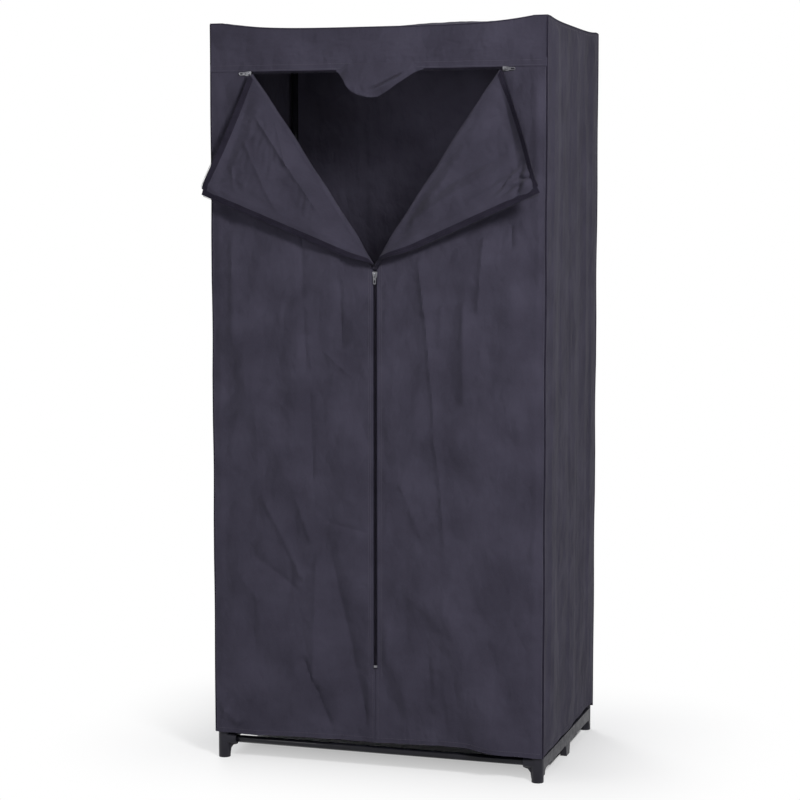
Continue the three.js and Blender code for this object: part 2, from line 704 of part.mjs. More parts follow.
function flapColumns() {
  const cornerStart = 1 - FLAP_CORNER_ROUND / (foldHalf - FLAP_END_TRIM - CHAIN_TO_CLOTH);
  const body = evenShares(FLAP_COLUMNS).map((share) => share * cornerStart);
  return [...body, ...flapCornerShares.map((share) => lerp(cornerStart, 1, share)), 1];
}

function flapCloth(side) {
  const folds = foldsOver(openingHalf, foldRise, side < 0 ? flapFoldShares.left : flapFoldShares.right);
  const topEdge = openingTop - CHAIN_TO_CLOTH;
  const columns = mirroredFor(side, flapColumns());
  const rows = [...evenShares(FLAP_ROWS).map((share) => share * zipBandShare), 1];
  return clothSheet(columns, rows, (share, v) => {
    const u = side < 0 ? share : 1 - share;
    const distance = lerp(foldHalf - FLAP_END_TRIM, CHAIN_TO_CLOTH, u);
    const foldEdge = foldBottom + distance * foldSlope + foldEdgeDrop;
    const past = Math.max(0, FLAP_CORNER_ROUND + CHAIN_TO_CLOTH - distance);
    const round = FLAP_CORNER_ROUND - Math.sqrt(FLAP_CORNER_ROUND ** 2 - past ** 2);
    const bandEdge = topEdge - round - ZIP_BAND;
    const z = v <= zipBandShare
      ? lerp(foldEdge, bandEdge, v / zipBandShare)
      : lerp(bandEdge, topEdge - round, (v - zipBandShare) / (1 - zipBandShare));
    const fromFold = (z - foldEdge) * (foldHalf / foldLength);
    const fromCentre = distance - FLAP_CORNER_ROUND - CHAIN_TO_CLOTH;
    const fade = ramp(fromFold, 0, FLAP_FADE) * ramp(bandEdge - z, 0, FLAP_FADE)
      * ramp(fromCentre, 0, FLAP_FADE);
    const y = frontY + fade * folds(openingHalf - distance, z - foldBottom);
    return { point: new THREE.Vector3(side * distance, y, z), facing: opposite(Y) };
  });
}

// One half of a zip: a woven tape and the row of teeth along it. along is the way of the
// zip, away points from the chain's line to the tape, and slant cuts the start of the tape
// to the fold line. The two halves mesh half a pitch apart.
function zipHalf({ along, away, from, to, offset, slant = 0, teethFrom = from, meshing = 0 }) {
  const tape = outline([
    [from + slant * TAPE_TO_CHAIN_LINE, TAPE_TO_CHAIN_LINE],
    [to, TAPE_TO_CHAIN_LINE],
    [to, TAPE_WIDTH],
    [from + slant * TAPE_WIDTH, TAPE_WIDTH],
  ]);
  const first = Math.ceil(Math.max(teethFrom, from + slant * TOOTH_BAR) / TOOTH_PITCH - meshing);
  const last = Math.floor(to / TOOTH_PITCH - meshing) - 1;
  const teeth = [[(first + meshing) * TOOTH_PITCH, TOOTH_BAR]];
  for (let i = first; i <= last; i += 1) {
    const root = (i + meshing) * TOOTH_PITCH;
    teeth.push([root, TOOTH_REACH + TOOTH_CLEARANCE]);
    teeth.push([root + TOOTH_PITCH / 2, TOOTH_CLEARANCE - TOOTH_REACH]);
  }
  teeth.push([(last + 1 + meshing) * TOOTH_PITCH, TOOTH_REACH + TOOTH_CLEARANCE]);
  teeth.push([(last + 1 + meshing) * TOOTH_PITCH, TOOTH_BAR]);
  const depthWay = new THREE.Vector3().crossVectors(along, away).y;
  const layer = (shape, thickness, y) => extruded(shape, thickness, along, away)
    .translate(0, y - (depthWay * thickness) / 2, 0);
  const solid = joined([
    layer(tape, TAPE_THICKNESS, tapeY),
    layer(outline(teeth), TOOTH_THICKNESS, chainY),
  ]);
  return toGeometry(solid).translate(...offset);
}

// Slider: two plates round the chain, the wedge that parts its halves and the crown that
// carries the pull. Drawn at its own centre, closing towards +Z, its face towards -Y.
const SLIDER_LENGTH = 14;
const SLIDER_MOUTH = 11;
const SLIDER_TAIL = 8.4;
const SLIDER_ROUND = 2;
const SLIDER_CHANNEL = 4;
const PLATE = 1.2;
const WEDGE_WIDTH = 1.8;
const WEDGE_LENGTH = 5;
const CROWN_LENGTH = 7.2;
const CROWN_GAP = 2.8;
const CROWN_WALL = 1.2;
const CROWN_THICKNESS = 2;
const crownFloor = -(SLIDER_CHANNEL / 2 + PLATE);
const pullPivot = crownFloor - CROWN_GAP / 2;

function sliderPlateOutline() {
  const half = SLIDER_LENGTH / 2;
  const mouth = SLIDER_MOUTH / 2;
  const tail = SLIDER_TAIL / 2;
  const shape = new THREE.Shape();
  shape.moveTo(-tail, -half + SLIDER_ROUND);
  shape.quadraticCurveTo(-tail, -half, -tail + SLIDER_ROUND, -half);
  shape.lineTo(tail - SLIDER_ROUND, -half);
  shape.quadraticCurveTo(tail, -half, tail, -half + SLIDER_ROUND);
  shape.lineTo(mouth, half - SLIDER_ROUND);
  shape.quadraticCurveTo(mouth, half, mouth - SLIDER_ROUND, half);
  shape.lineTo(-mouth + SLIDER_ROUND, half);
  shape.quadraticCurveTo(-mouth, half, -mouth, half - SLIDER_ROUND);
  return shape;
}

// The crown in side view: an arch over the gap where the pull's bar turns
function crownOutline() {
  const half = CROWN_LENGTH / 2;
  const inner = half - CROWN_WALL;
  const top = CROWN_GAP + CROWN_WALL;
  const shape = new THREE.Shape();
  shape.moveTo(-half, -PLATE / 2);
  shape.lineTo(-half, CROWN_GAP);
  shape.quadraticCurveTo(-half, top, -inner, top);
  shape.lineTo(inner, top);
  shape.quadraticCurveTo(half, top, half, CROWN_GAP);
  shape.lineTo(half, -PLATE / 2);
  shape.lineTo(inner, -PLATE / 2);
  shape.lineTo(inner, CROWN_GAP);
  shape.lineTo(-inner, CROWN_GAP);
  shape.lineTo(-inner, -PLATE / 2);
  return shape;
}

function sliderBody() {
  const gap = SLIDER_CHANNEL / 2;
  const plate = () => extruded(sliderPlateOutline(), PLATE, X, Z);
  const half = SLIDER_LENGTH / 2;
  const wedge = outline([
    [0, half - WEDGE_LENGTH],
    [WEDGE_WIDTH / 2, half - SLIDER_ROUND],
    [WEDGE_WIDTH / 2, half],
    [-WEDGE_WIDTH / 2, half],
    [-WEDGE_WIDTH / 2, half - SLIDER_ROUND],
  ]);
  const wedgeDepth = SLIDER_CHANNEL + PLATE;
  const crown = extruded(crownOutline(), CROWN_THICKNESS, Z, opposite(Y));
  return toGeometry(joined([
    plate().translate(0, -gap, 0),
    plate().translate(0, gap + PLATE, 0),
    extruded(wedge, wedgeDepth, X, Z).translate(0, wedgeDepth / 2, 0),
    crown.translate(-CROWN_THICKNESS / 2, crownFloor, 0),
  ]));
}

// Pull: a flat tab with an eye for the crown, drawn hanging from its pivot towards -Z
const PULL_LENGTH = 21;
const PULL_WIDTH = 6.4;
const PULL_THICKNESS = 1.2;
const PULL_BAR = 1.5;
const EYE_LENGTH = 5.2;
const EYE_WIDTH = 3.2;
const GRIP_LENGTH = 7;
const GRIP_WIDTH = 2.6;
const GRIP_INSET = 2.4;

function slot(width, top, bottom) {
  const r = width / 2;
  const path = new THREE.Path();
  path.absarc(0, top - r, r, 0, Math.PI, false);
  path.absarc(0, bottom + r, r, Math.PI, 2 * Math.PI, false);
  return path;
}

function pullTab() {
  const half = PULL_WIDTH / 2;
  const top = PULL_BAR / 2;
  const bottom = top - PULL_LENGTH;
  const shape = new THREE.Shape();
  shape.moveTo(half, top);
  shape.lineTo(-half, top);
  shape.absarc(0, bottom + half, half, Math.PI, 2 * Math.PI, false);
  const eyeTop = -PULL_BAR / 2;
  const eye = outline([
    [-EYE_WIDTH / 2, eyeTop],
    [-EYE_WIDTH / 2, eyeTop - EYE_LENGTH],
    [EYE_WIDTH / 2, eyeTop - EYE_LENGTH],
    [EYE_WIDTH / 2, eyeTop],
  ]);
  shape.holes.push(eye, slot(GRIP_WIDTH, bottom + GRIP_INSET + GRIP_LENGTH, bottom + GRIP_INSET));
  return bare(extruded(shape, PULL_THICKNESS, X, Z).translate(0, PULL_THICKNESS / 2, 0));
}

// Bottom stop: a metal clip closed round both tapes
const STOP_LENGTH = 5;
const STOP_WIDTH = 7;
const STOP_THICKNESS = 1;
function bottomStop() {
  const back = chainY + TOOTH_THICKNESS / 2 + SEAT_GAP;
  const frontFace = chainY - TOOTH_THICKNESS / 2;
  const low = ZIP_BOTTOM;
  const high = low + STOP_LENGTH;
  const half = STOP_WIDTH / 2;
  const throat = TAPE_TO_CHAIN_LINE - SEAT_GAP;
  return toGeometry(joined([
    block(-half, half, frontFace - STOP_THICKNESS, frontFace, low, high),
    block(-half, half, back, back + STOP_THICKNESS, low, high),
    block(-throat, throat, frontFace - STOP_THICKNESS / 2, back + STOP_THICKNESS / 2, low, high),
  ]));
}

// Assembly

const wardrobe = new THREE.Group();

function add(parent, name, geometry, material) {
  const mesh = new THREE.Mesh(geometry, material);
  mesh.name = name;
  parent.add(mesh);
  return mesh;
}

const sides = { left: -1, right: 1 };
const standOff = { left: LEFT_STAND_OFF_DEG, right: RIGHT_STAND_OFF_DEG };
const ends = { front: -1, rear: 1 };
const tubeEnd = boreEnd - SEAT_GAP;

for (const [sideName, side] of Object.entries(sides)) {
  add(wardrobe, `base_end_${sideName}`, baseEnd(side), materials.plastic);
  add(wardrobe, `top_end_${sideName}`, topEnd(side), materials.plastic);
  add(wardrobe, `cover_side_${sideName}`, coverSide(side), materials.cloth);
  add(wardrobe, `front_${sideName}`, frontPanel(side), materials.cloth);
  for (const [endName, end] of Object.entries(ends)) {
    const [x, y] = [side * legX, end * legY];
    const corner = `${endName}_${sideName}`;
    const foot = LEG_SOCKET_FLOOR + SEAT_GAP;
    const lower = tube('z', foot, postSplit.low - SEAT_GAP, [x, y, 0]);
    const upper = tube('z', postSplit.high + SEAT_GAP, postTop, [x, y, 0]);
    add(wardrobe, `post_lower_${corner}`, lower, materials.tube);
    add(wardrobe, `post_upper_${corner}`, upper, materials.tube);
    add(wardrobe, `post_joiner_${corner}`, postJoiner(x, y), materials.plastic);
  }
}

for (const [endName, end] of Object.entries({ ...ends, middle: 0 })) {
  const centre = [0, end * legY, BASE_TUBE_HEIGHT];
  add(wardrobe, `base_tube_${endName}`, tube('x', -tubeEnd, tubeEnd, centre), materials.tube);
}
for (const [endName, end] of Object.entries(ends)) {
  const centre = [0, end * legY, topTubeHeight];
  add(wardrobe, `top_tube_${endName}`, tube('x', -tubeEnd, tubeEnd, centre), materials.tube);
}
add(wardrobe, 'hanging_rail', tube('x', -tubeEnd, tubeEnd, [0, 0, hangingRailHeight]), materials.tube);

add(wardrobe, 'cover_top', coverTop(), materials.cloth);
add(wardrobe, 'cover_back', coverBack(), materials.cloth);
add(wardrobe, 'header', header(), materials.cloth);
add(wardrobe, 'header_tongue', headerTongue(), materials.cloth);

// The centre slider rests just under the fold, the header sliders at the fold's upper ends
const SLIDER_BELOW_FOLD = 4;
const TEETH_INTO_SLIDER = 3;
const sliderRest = foldBottom - SLIDER_BELOW_FOLD - SLIDER_LENGTH / 2;
const headerSliderRest = openingHalf - SLIDER_LENGTH / 2;
const chainStart = ZIP_BOTTOM + STOP_LENGTH + SEAT_GAP;
const headerTeethStart = SLIDER_LENGTH + SEAT_GAP;
const flapTapeTop = FOLD_DEPTH - TAPE_WIDTH - SEAT_GAP;

for (const [sideName, side] of Object.entries(sides)) {
  const inward = side < 0 ? X : opposite(X);
  const outwards = opposite(inward);
  const phase = side < 0 ? 0 : 0.5;
  const lowerChain = zipHalf({
    along: Z, away: outwards, from: chainStart, to: sliderRest + TEETH_INTO_SLIDER, offset: [0, 0, 0],
    meshing: phase,
  });
  add(wardrobe, `centre_zip_${sideName}`, lowerChain, materials.tape);
  const headerZip = zipHalf({
    along: inward, away: Z, from: 0, to: openingHalf - SEAT_GAP, teethFrom: headerTeethStart,
    offset: [side * openingHalf, 0, openingTop],
  });
  add(wardrobe, `header_zip_${sideName}`, headerZip, materials.tape);

  const axis = new THREE.Vector3(foldHalf, 0, side < 0 ? -foldRise : foldRise);
  axis.multiplyScalar(-1 / foldLength);
  const flap = new THREE.Group();
  const hinge = new THREE.Vector3(0, frontY - ROLL_RADIUS, foldBottom);
  flap.position.copy(hinge);
  flap.setRotationFromAxisAngle(axis, THREE.MathUtils.degToRad(standOff[sideName] - 180));
  const closed = new THREE.Group();
  closed.position.copy(hinge).negate();
  flap.add(closed);
  wardrobe.add(flap);
  add(closed, `flap_${sideName}`, flapCloth(side), materials.cloth);
  const flapZip = zipHalf({
    along: Z, away: outwards, from: SLIDER_BELOW_FOLD, to: flapTapeTop, slant: foldSlope,
    offset: [0, 0, foldBottom], meshing: phase,
  });
  add(closed, `flap_centre_zip_${sideName}`, flapZip, materials.tape);
  const topZip = zipHalf({
    along: inward, away: opposite(Z), from: FOLD_TOP_INSET + SLIDER_BELOW_FOLD,
    to: openingHalf - TAPE_WIDTH - SEAT_GAP, slant: 1 / foldSlope, teethFrom: headerTeethStart,
    offset: [side * openingHalf, 0, openingTop], meshing: 0.5,
  });
  add(closed, `flap_top_zip_${sideName}`, topZip, materials.tape);
}
add(wardrobe, 'zip_bottom_stop', bottomStop(), materials.zincCast);

const sliders = {
  centre: { position: [0, chainY, sliderRest], turn: 0 },
  header_left: { position: [-headerSliderRest, chainY, openingTop], turn: Math.PI / 2 },
  header_right: { position: [headerSliderRest, chainY, openingTop], turn: -Math.PI / 2 },
};
for (const [name, { position, turn }] of Object.entries(sliders)) {
  const slider = new THREE.Group();
  slider.position.set(...position);
  slider.rotation.y = turn;
  add(slider, `${name}_slider`, sliderBody(), materials.zincCast);
  const pull = add(slider, `${name}_pull`, pullTab(), materials.zincCast);
  pull.position.y = pullPivot;
  wardrobe.add(slider);
}

// The open flaps reach forward of the frame, so the whole is set with its middle at x = y = 0
const extent = new THREE.Box3().setFromObject(wardrobe);
const middle = extent.getCenter(new THREE.Vector3());
wardrobe.position.set(-middle.x, -middle.y, 0);

export default wardrobe;
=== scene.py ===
"""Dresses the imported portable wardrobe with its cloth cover, zips, tubes and mouldings.

Metres, in the row frame. Places on the cover are given in cover coordinates, whose middle is the
middle of the roof: x to the right, y to the back, z up from the floor.
"""

import json
import math

import bmesh
import bpy
import numpy as np
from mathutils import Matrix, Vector


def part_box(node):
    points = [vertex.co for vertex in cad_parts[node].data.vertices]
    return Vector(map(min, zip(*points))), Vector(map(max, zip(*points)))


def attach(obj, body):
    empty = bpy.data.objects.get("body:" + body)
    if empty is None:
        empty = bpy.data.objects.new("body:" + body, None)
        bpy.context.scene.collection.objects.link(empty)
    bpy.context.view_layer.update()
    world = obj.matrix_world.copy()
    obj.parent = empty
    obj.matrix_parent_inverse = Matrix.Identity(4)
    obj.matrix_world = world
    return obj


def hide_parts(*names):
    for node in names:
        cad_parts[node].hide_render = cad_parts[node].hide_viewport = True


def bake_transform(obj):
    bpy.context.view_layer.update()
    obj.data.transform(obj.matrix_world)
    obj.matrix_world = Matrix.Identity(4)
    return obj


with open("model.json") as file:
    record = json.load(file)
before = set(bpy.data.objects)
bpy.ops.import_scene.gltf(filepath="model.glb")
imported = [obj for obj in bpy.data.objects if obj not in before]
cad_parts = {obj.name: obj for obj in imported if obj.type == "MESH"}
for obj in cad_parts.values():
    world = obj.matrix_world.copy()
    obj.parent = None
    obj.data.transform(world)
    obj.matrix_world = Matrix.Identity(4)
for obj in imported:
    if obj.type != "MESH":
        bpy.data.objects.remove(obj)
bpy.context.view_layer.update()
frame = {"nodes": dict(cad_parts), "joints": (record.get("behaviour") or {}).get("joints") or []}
joints = {joint["name"]: joint for joint in frame["joints"]}
scene = bpy.context.scene

# Sizes that the cover shares with the solids
HEIGHT = 1.6
HALF_WIDTH = 0.3698
HALF_DEPTH = 0.2498
CLOTH = 0.0014
FRONT = -0.2491
SIDE = 0.3691
HUB_X = 0.342
HUB_Y = 0.222
FRONT_SAG = 0.015
SIDE_SAG = 0.005
OPENING_HALF = 0.29
OPENING_TOP = 1.492
FOLD_BOTTOM = 1.078
ZIP_BOTTOM = 0.225
ROLL_RADIUS = 0.005
CHAIN_TO_CLOTH = 0.0045
PIECE_GAP = 0.0003
SEAM_BLEND = 0.009
TAPE_WIDTH = 0.013
TAPE_START = 0.0015
TAPE_THICKNESS = 0.0008
CHAIN_PLANE = FRONT + 0.0009
TAPE_PLANE = FRONT + 0.0014
TUBE_RADIUS = 0.008
TUBE_WALL = 0.0006
# Where the shares of the relief tables start
RELIEF_FOOT = 0.06

FOLD_HALF = OPENING_HALF - 0.012
FOLD_RISE = OPENING_TOP - FOLD_BOTTOM
FOLD_LENGTH = math.hypot(FOLD_HALF, FOLD_RISE)
FOLD_SLOPE = FOLD_RISE / FOLD_HALF
FOLD_END = (OPENING_TOP - CHAIN_TO_CLOTH - FOLD_BOTTOM) / FOLD_SLOPE
HEADER_BOTTOM = OPENING_TOP + CHAIN_TO_CLOTH
SIDES = {"left": -1, "right": 1}

roof_lo, roof_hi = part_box("cover_top")
MIDDLE = np.array([(roof_lo[0] + roof_hi[0]) / 2, (roof_lo[1] + roof_hi[1]) / 2, 0.0])


# Camera, lights and floor

def add_camera():
    data = bpy.data.cameras.new("camera")
    camera = bpy.data.objects.new("camera", data)
    scene.collection.objects.link(camera)
    scene.camera = camera
    # Place, turn and lens are fitted to the cover's corners and the feet
    camera.location = Vector(MIDDLE) + Vector((1.3559, -4.4498, 1.2157))
    camera.rotation_euler = (math.radians(84.647), 0, math.radians(17.207))
    data.sensor_width = 36
    data.lens = 94.05


def add_lamp(name, place, aim, size, power, spread=180):
    data = bpy.data.lights.new(name, "AREA")
    data.shape = "DISK"
    data.size = size
    data.energy = power
    data.spread = math.radians(spread)
    lamp = bpy.data.objects.new(name, data)
    scene.collection.objects.link(lamp)
    lamp.location = place
    lamp.rotation_euler = (Vector(aim) - Vector(place)).to_track_quat("-Z", "Y").to_euler()


def add_node(tree, kind, inputs=None, output=0, **settings):
    """Adds a node and gives back one of its outputs. inputs holds values or sockets by name or number."""
    made = tree.nodes.new(kind)
    for name, value in settings.items():
        setattr(made, name, value)
    for key, value in (inputs or {}).items():
        if isinstance(value, bpy.types.NodeSocket):
            tree.links.new(value, made.inputs[key])
        else:
            made.inputs[key].default_value = value
    return made.outputs[output] if made.outputs else None


def maths(tree, operation, *values):
    return add_node(tree, "ShaderNodeMath", dict(enumerate(values)), operation=operation)


def white_rays(tree):
    """1 for the rays that meet the white studio: seen straight, in gloss and through glass."""
    path = tree.nodes.new("ShaderNodeLightPath").outputs
    total = path["Is Camera Ray"]
    for name in ("Is Glossy Ray", "Is Transmission Ray"):
        total = maths(tree, "MAXIMUM", total, path[name])
    return total


def add_world():
    world = bpy.data.worlds.new("studio")
    scene.world = world
    world.use_nodes = True
    tree = world.node_tree
    tree.nodes.clear()
    soft = add_node(tree, "ShaderNodeBackground", {"Color": (0.94, 0.96, 1, 1), "Strength": 0.15})
    white = add_node(tree, "ShaderNodeBackground", {"Color": (1, 1, 1, 1), "Strength": 1})
    mixed = add_node(tree, "ShaderNodeMixShader", {0: white_rays(tree), 1: soft, 2: white})
    add_node(tree, "ShaderNodeOutputWorld", {"Surface": mixed})


# The rectangle's set-back and its half sizes
FOOT_BACK = 0.07
FOOT_HALF = (HALF_WIDTH - 0.02, 0.165, 0)


def away_from_foot(tree):
    """Distance on the floor from a rectangle under the wardrobe, set back from its front tube."""
    coords = add_node(tree, "ShaderNodeTexCoord", output="Object")
    nothing = (0, 0, 0)
    for operation, vector in (("SUBTRACT", (MIDDLE[0], MIDDLE[1] + FOOT_BACK, 0)), ("ABSOLUTE", nothing),
                              ("SUBTRACT", FOOT_HALF), ("MAXIMUM", nothing)):
        coords = add_node(tree, "ShaderNodeVectorMath", {0: coords, 1: vector}, operation=operation)
    return add_node(tree, "ShaderNodeVectorMath", {0: coords}, "Value", operation="LENGTH")


def add_floor():
    """A pale floor that keeps the shadow near the wardrobe and fades into the white further out."""
    # How far out the floor is quite white, half its size, and the distance that counts as outside
    far, size, outside = 0.5, 30, 0.0001
    mesh = bpy.data.meshes.new("floor")
    corners = [(-size, -size, 0), (size, -size, 0), (size, size, 0), (-size, size, 0)]
    mesh.from_pydata(corners, [], [(0, 1, 2, 3)])
    floor = bpy.data.objects.new("floor", mesh)
    scene.collection.objects.link(floor)
    finish = bpy.data.materials.new("pale_floor")
    finish.use_nodes = True
    tree = finish.node_tree
    tree.nodes.clear()
    distance = away_from_foot(tree)
    share = add_node(tree, "ShaderNodeMapRange", {
        "Value": distance, "From Min": -far * 0.75, "From Max": far}, interpolation_type="SMOOTHSTEP")
    for factor in (maths(tree, "GREATER_THAN", distance, outside), white_rays(tree)):
        share = maths(tree, "MULTIPLY", share, factor)
    paint = add_node(tree, "ShaderNodeBsdfDiffuse", {"Color": (0.95, 0.95, 0.96, 1)})
    glow = add_node(tree, "ShaderNodeEmission", {"Color": (1, 1, 1, 1)})
    mixed = add_node(tree, "ShaderNodeMixShader", {0: share, 1: paint, 2: glow})
    add_node(tree, "ShaderNodeOutputMaterial", {"Surface": mixed})
    mesh.materials.append(finish)


add_camera()
add_world()
add_floor()
# Place, aim, size, watts and, for the lamp under the roof, its spread
add_lamp("key", (1.95, -2.3, 2.4), (0.1, 0, 0.9), 0.7, 85)
add_lamp("fill", (-3.3, -2.5, 2.2), (0, 0, 0.8), 1.8, 26)
add_lamp("top", (-0.3, 0.6, 4.4), (0, 0, 1), 2.6, 40)
add_lamp("rear", (-2.2, 3.4, 2.3), (0, 0, 0.8), 1.6, 80)
add_lamp("inside", (0.12, -0.12, 1.535), (-0.1, 0.25, 1.2), 0.08, 0.4, 110)
scene.view_settings.view_transform = "Standard"


# Finishes

def new_finish(name, roughness, metallic=0.0):
    finish = bpy.data.materials.new(name)
    finish.use_nodes = True
    tree = finish.node_tree
    shader = tree.nodes["Principled BSDF"]
    shader.inputs["Roughness"].default_value = roughness
    shader.inputs["Metallic"].default_value = metallic
    return finish, tree, shader


def noise(tree, coords, scale, detail, stretch=None):
    if stretch:
        coords = add_node(tree, "ShaderNodeMapping", {"Scale": stretch, "Vector": coords})
    return add_node(tree, "ShaderNodeTexNoise", {"Scale": scale, "Detail": detail, "Vector": coords}, "Fac")


def ranged(tree, value, low, high, start=0.3, end=0.7):
    return add_node(tree, "ShaderNodeMapRange", {
        "Value": value, "From Min": start, "From Max": end, "To Min": low, "To Max": high})


def mixed_colour(tree, share, first, second):
    """Goes from the first colour to the second as share goes from 0 to 1."""
    first, second = ((*c, 1) if isinstance(c, tuple) else c for c in (first, second))
    return add_node(tree, "ShaderNodeMix", {"Factor": share, 6: first, 7: second}, 2, data_type="RGBA")


def bump(tree, shader, heights):
    """Stacks (height, distance) pairs of fine relief."""
    below = {}
    for height, distance in heights:
        inputs = {"Distance": distance, "Strength": 1, "Height": height}
        below = {"Normal": add_node(tree, "ShaderNodeBump", {**inputs, **below})}
    tree.links.new(below["Normal"], shader.inputs["Normal"])


def uv_of(tree):
    return add_node(tree, "ShaderNodeUVMap", uv_map="cut")


def folded_noise(tree, value):
    """Pressed creases: the height turns sharply where the noise crosses its middle."""
    return maths(tree, "ABSOLUTE", maths(tree, "SUBTRACT", value, 0.5))


def cloth_finish(name, dark, light):
    """Matt charcoal non-woven: pressed dimples, stray fibres, dusty blotches and rubbed patches."""
    finish, tree, shader = new_finish(name, 0.9)
    cut = uv_of(tree)
    blotches = ranged(tree, noise(tree, cut, 9, 6), 0, 1, 0.36, 0.64)
    fibres = ranged(tree, noise(tree, cut, 620, 3, (1, 0.35, 1)), 0.0, 1.0)
    base = mixed_colour(tree, blotches, dark, light)
    paler = tuple(min(1, c * 1.35) for c in light)
    rubbed = ranged(tree, noise(tree, cut, 16, 6), 0, 0.28, 0.56, 0.8)
    base = mixed_colour(tree, rubbed, base, paler)
    speck = ranged(tree, fibres, 0.0, 0.16, 0, 1)
    base = mixed_colour(tree, speck, base, paler)
    tree.links.new(base, shader.inputs["Base Color"])
    dimples = add_node(tree, "ShaderNodeTexVoronoi", {
        "Scale": 640, "Randomness": 0.25, "Vector": cut}, "Distance")
    rough = ranged(tree, noise(tree, cut, 30, 3), 0.82, 0.96)
    tree.links.new(rough, shader.inputs["Roughness"])
    puckers = noise(tree, cut, 46, 4, (1, 0.6, 1))
    creases = folded_noise(tree, noise(tree, cut, 14, 1, (1, 0.6, 1)))
    crinkles = folded_noise(tree, noise(tree, cut, 36, 2, (1, 0.5, 1)))
    bump(tree, shader, [(creases, 0.0095), (crinkles, 0.0042), (puckers, 0.0022),
                        (dimples, 0.00016), (fibres, 0.00008)])
    shader.inputs["Sheen Weight"].default_value = 0.04
    shader.inputs["Sheen Roughness"].default_value = 0.5
    shader.inputs["Specular IOR Level"].default_value = 0.01
    return finish


def tape_finish():
    """Woven polyester tape: a fine herringbone along its length."""
    finish, tree, shader = new_finish("zip_tape", 0.85)
    cut = uv_of(tree)
    rows = add_node(tree, "ShaderNodeTexWave", {"Scale": 210, "Distortion": 1.2, "Vector": cut}, "Fac",
                    wave_type="BANDS", bands_direction="DIAGONAL")
    wear = ranged(tree, noise(tree, cut, 40, 4), 0, 1)
    base = mixed_colour(tree, wear, (0.017, 0.015, 0.024), (0.026, 0.023, 0.036))
    shader.inputs["Specular IOR Level"].default_value = 0.01
    tree.links.new(base, shader.inputs["Base Color"])
    bump(tree, shader, [(rows, 0.00012)])
    return finish


def hard_finish(name, dark, light, roughness, metallic, grain, depth, gloss=0.5):
    """Moulded, coated or cast surfaces: fine grain, uneven polish and a little handling wear."""
    finish, tree, shader = new_finish(name, roughness, metallic)
    where = add_node(tree, "ShaderNodeTexCoord", output="Object")
    tone = ranged(tree, noise(tree, where, 24, 5), 0, 1)
    tree.links.new(mixed_colour(tree, tone, dark, light), shader.inputs["Base Color"])
    polish = ranged(tree, noise(tree, where, 60, 4), roughness * 0.82, roughness * 1.2)
    tree.links.new(polish, shader.inputs["Roughness"])
    bump(tree, shader, [(noise(tree, where, grain, 3), depth)])
    shader.inputs["Specular IOR Level"].default_value = gloss
    return finish


CLOTH_DARK = (0.0375, 0.0345, 0.0505)
CLOTH_LIGHT = (0.0515, 0.0475, 0.069)
finishes = {
    "cloth": cloth_finish("charcoal_cloth", CLOTH_DARK, CLOTH_LIGHT),
    "zip_tape": tape_finish(),
    "coil": hard_finish("zip_coil", (0.010, 0.009, 0.014), (0.019, 0.017, 0.025), 0.4, 0, 900, 0.00004, 0.1),
    "thread": hard_finish("sewing_thread", (0.06, 0.055, 0.075), (0.095, 0.088, 0.115), 0.7, 0, 2500, 0.00006,
                          0.2),
    "moulding": hard_finish("moulded_plastic", (0.0125, 0.012, 0.0175), (0.02, 0.019, 0.027), 0.45, 0, 1100,
                            0.00005, 0.2),
    "tube": hard_finish("coated_tube", (0.007, 0.007, 0.01), (0.011, 0.011, 0.016), 0.17, 0, 38, 0.0012, 0.2),
    "zip_metal": hard_finish("cast_zinc", (0.09, 0.09, 0.1), (0.3, 0.3, 0.325), 0.28, 1, 700, 0.00003),
}
# Finishes that are filed under another slot
SLOTS = {"coil": "zip_tape", "thread": "cloth"}


# Making pieces

def finished(obj, slot, nodes=(), body="frame", ride=True):
    """Gives a finished mesh its material and, where it rides, its body, and hides the solids that it stands
    for.
    """
    obj.data.materials.clear()
    obj.data.materials.append(finishes[slot])
    if ride:
        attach(obj, body)
    if nodes:
        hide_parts(*nodes)
    SLOTS.get(slot, slot)
    return obj


def linked(name, mesh):
    obj = bpy.data.objects.new(name, mesh)
    scene.collection.objects.link(obj)
    return obj


def shaded(mesh, sharp_deg=50):
    """Smooth shading with sharp edges where faces meet at more than that angle."""
    mesh.shade_smooth()
    mesh.set_sharp_from_angle(angle=math.radians(sharp_deg))
    return mesh


def evaluated(obj):
    graph = bpy.context.evaluated_depsgraph_get()
    return bpy.data.meshes.new_from_object(obj.evaluated_get(graph))


def with_modifiers_applied(obj, sharp_deg=50):
    """A new object of the same name that holds the evaluated mesh."""
    mesh = shaded(evaluated(obj), sharp_deg)
    name = obj.name
    bpy.data.objects.remove(obj)
    mesh.name = name
    return linked(name, mesh)


def grid_mesh(name, points, flat):
    """A mesh over a grid of points, with the cloth's flat cut as its UV map."""
    rows, columns = points.shape[:2]
    index = np.arange(rows * columns).reshape(rows, columns)
    quads = np.stack([index[:-1, :-1], index[:-1, 1:], index[1:, 1:], index[1:, :-1]], -1)
    mesh = bpy.data.meshes.new(name)
    mesh.from_pydata(points.reshape(-1, 3).tolist(), [], quads.reshape(-1, 4).tolist())
    corner = np.empty(len(mesh.loops), int)
    mesh.loops.foreach_get("vertex_index", corner)
    layer = mesh.uv_layers.new(name="cut")
    layer.data.foreach_set("uv", flat.reshape(-1, 2)[corner].astype(np.float32).ravel())
    return mesh


def flat_area(flat):
    """Area of the flat cut under a grid, by the diagonals of its cells."""
    across = flat[1:, 1:] - flat[:-1, :-1]
    back = flat[1:, :-1] - flat[:-1, 1:]
    return float(np.abs(across[..., 0] * back[..., 1] - across[..., 1] * back[..., 0]).sum() / 2)


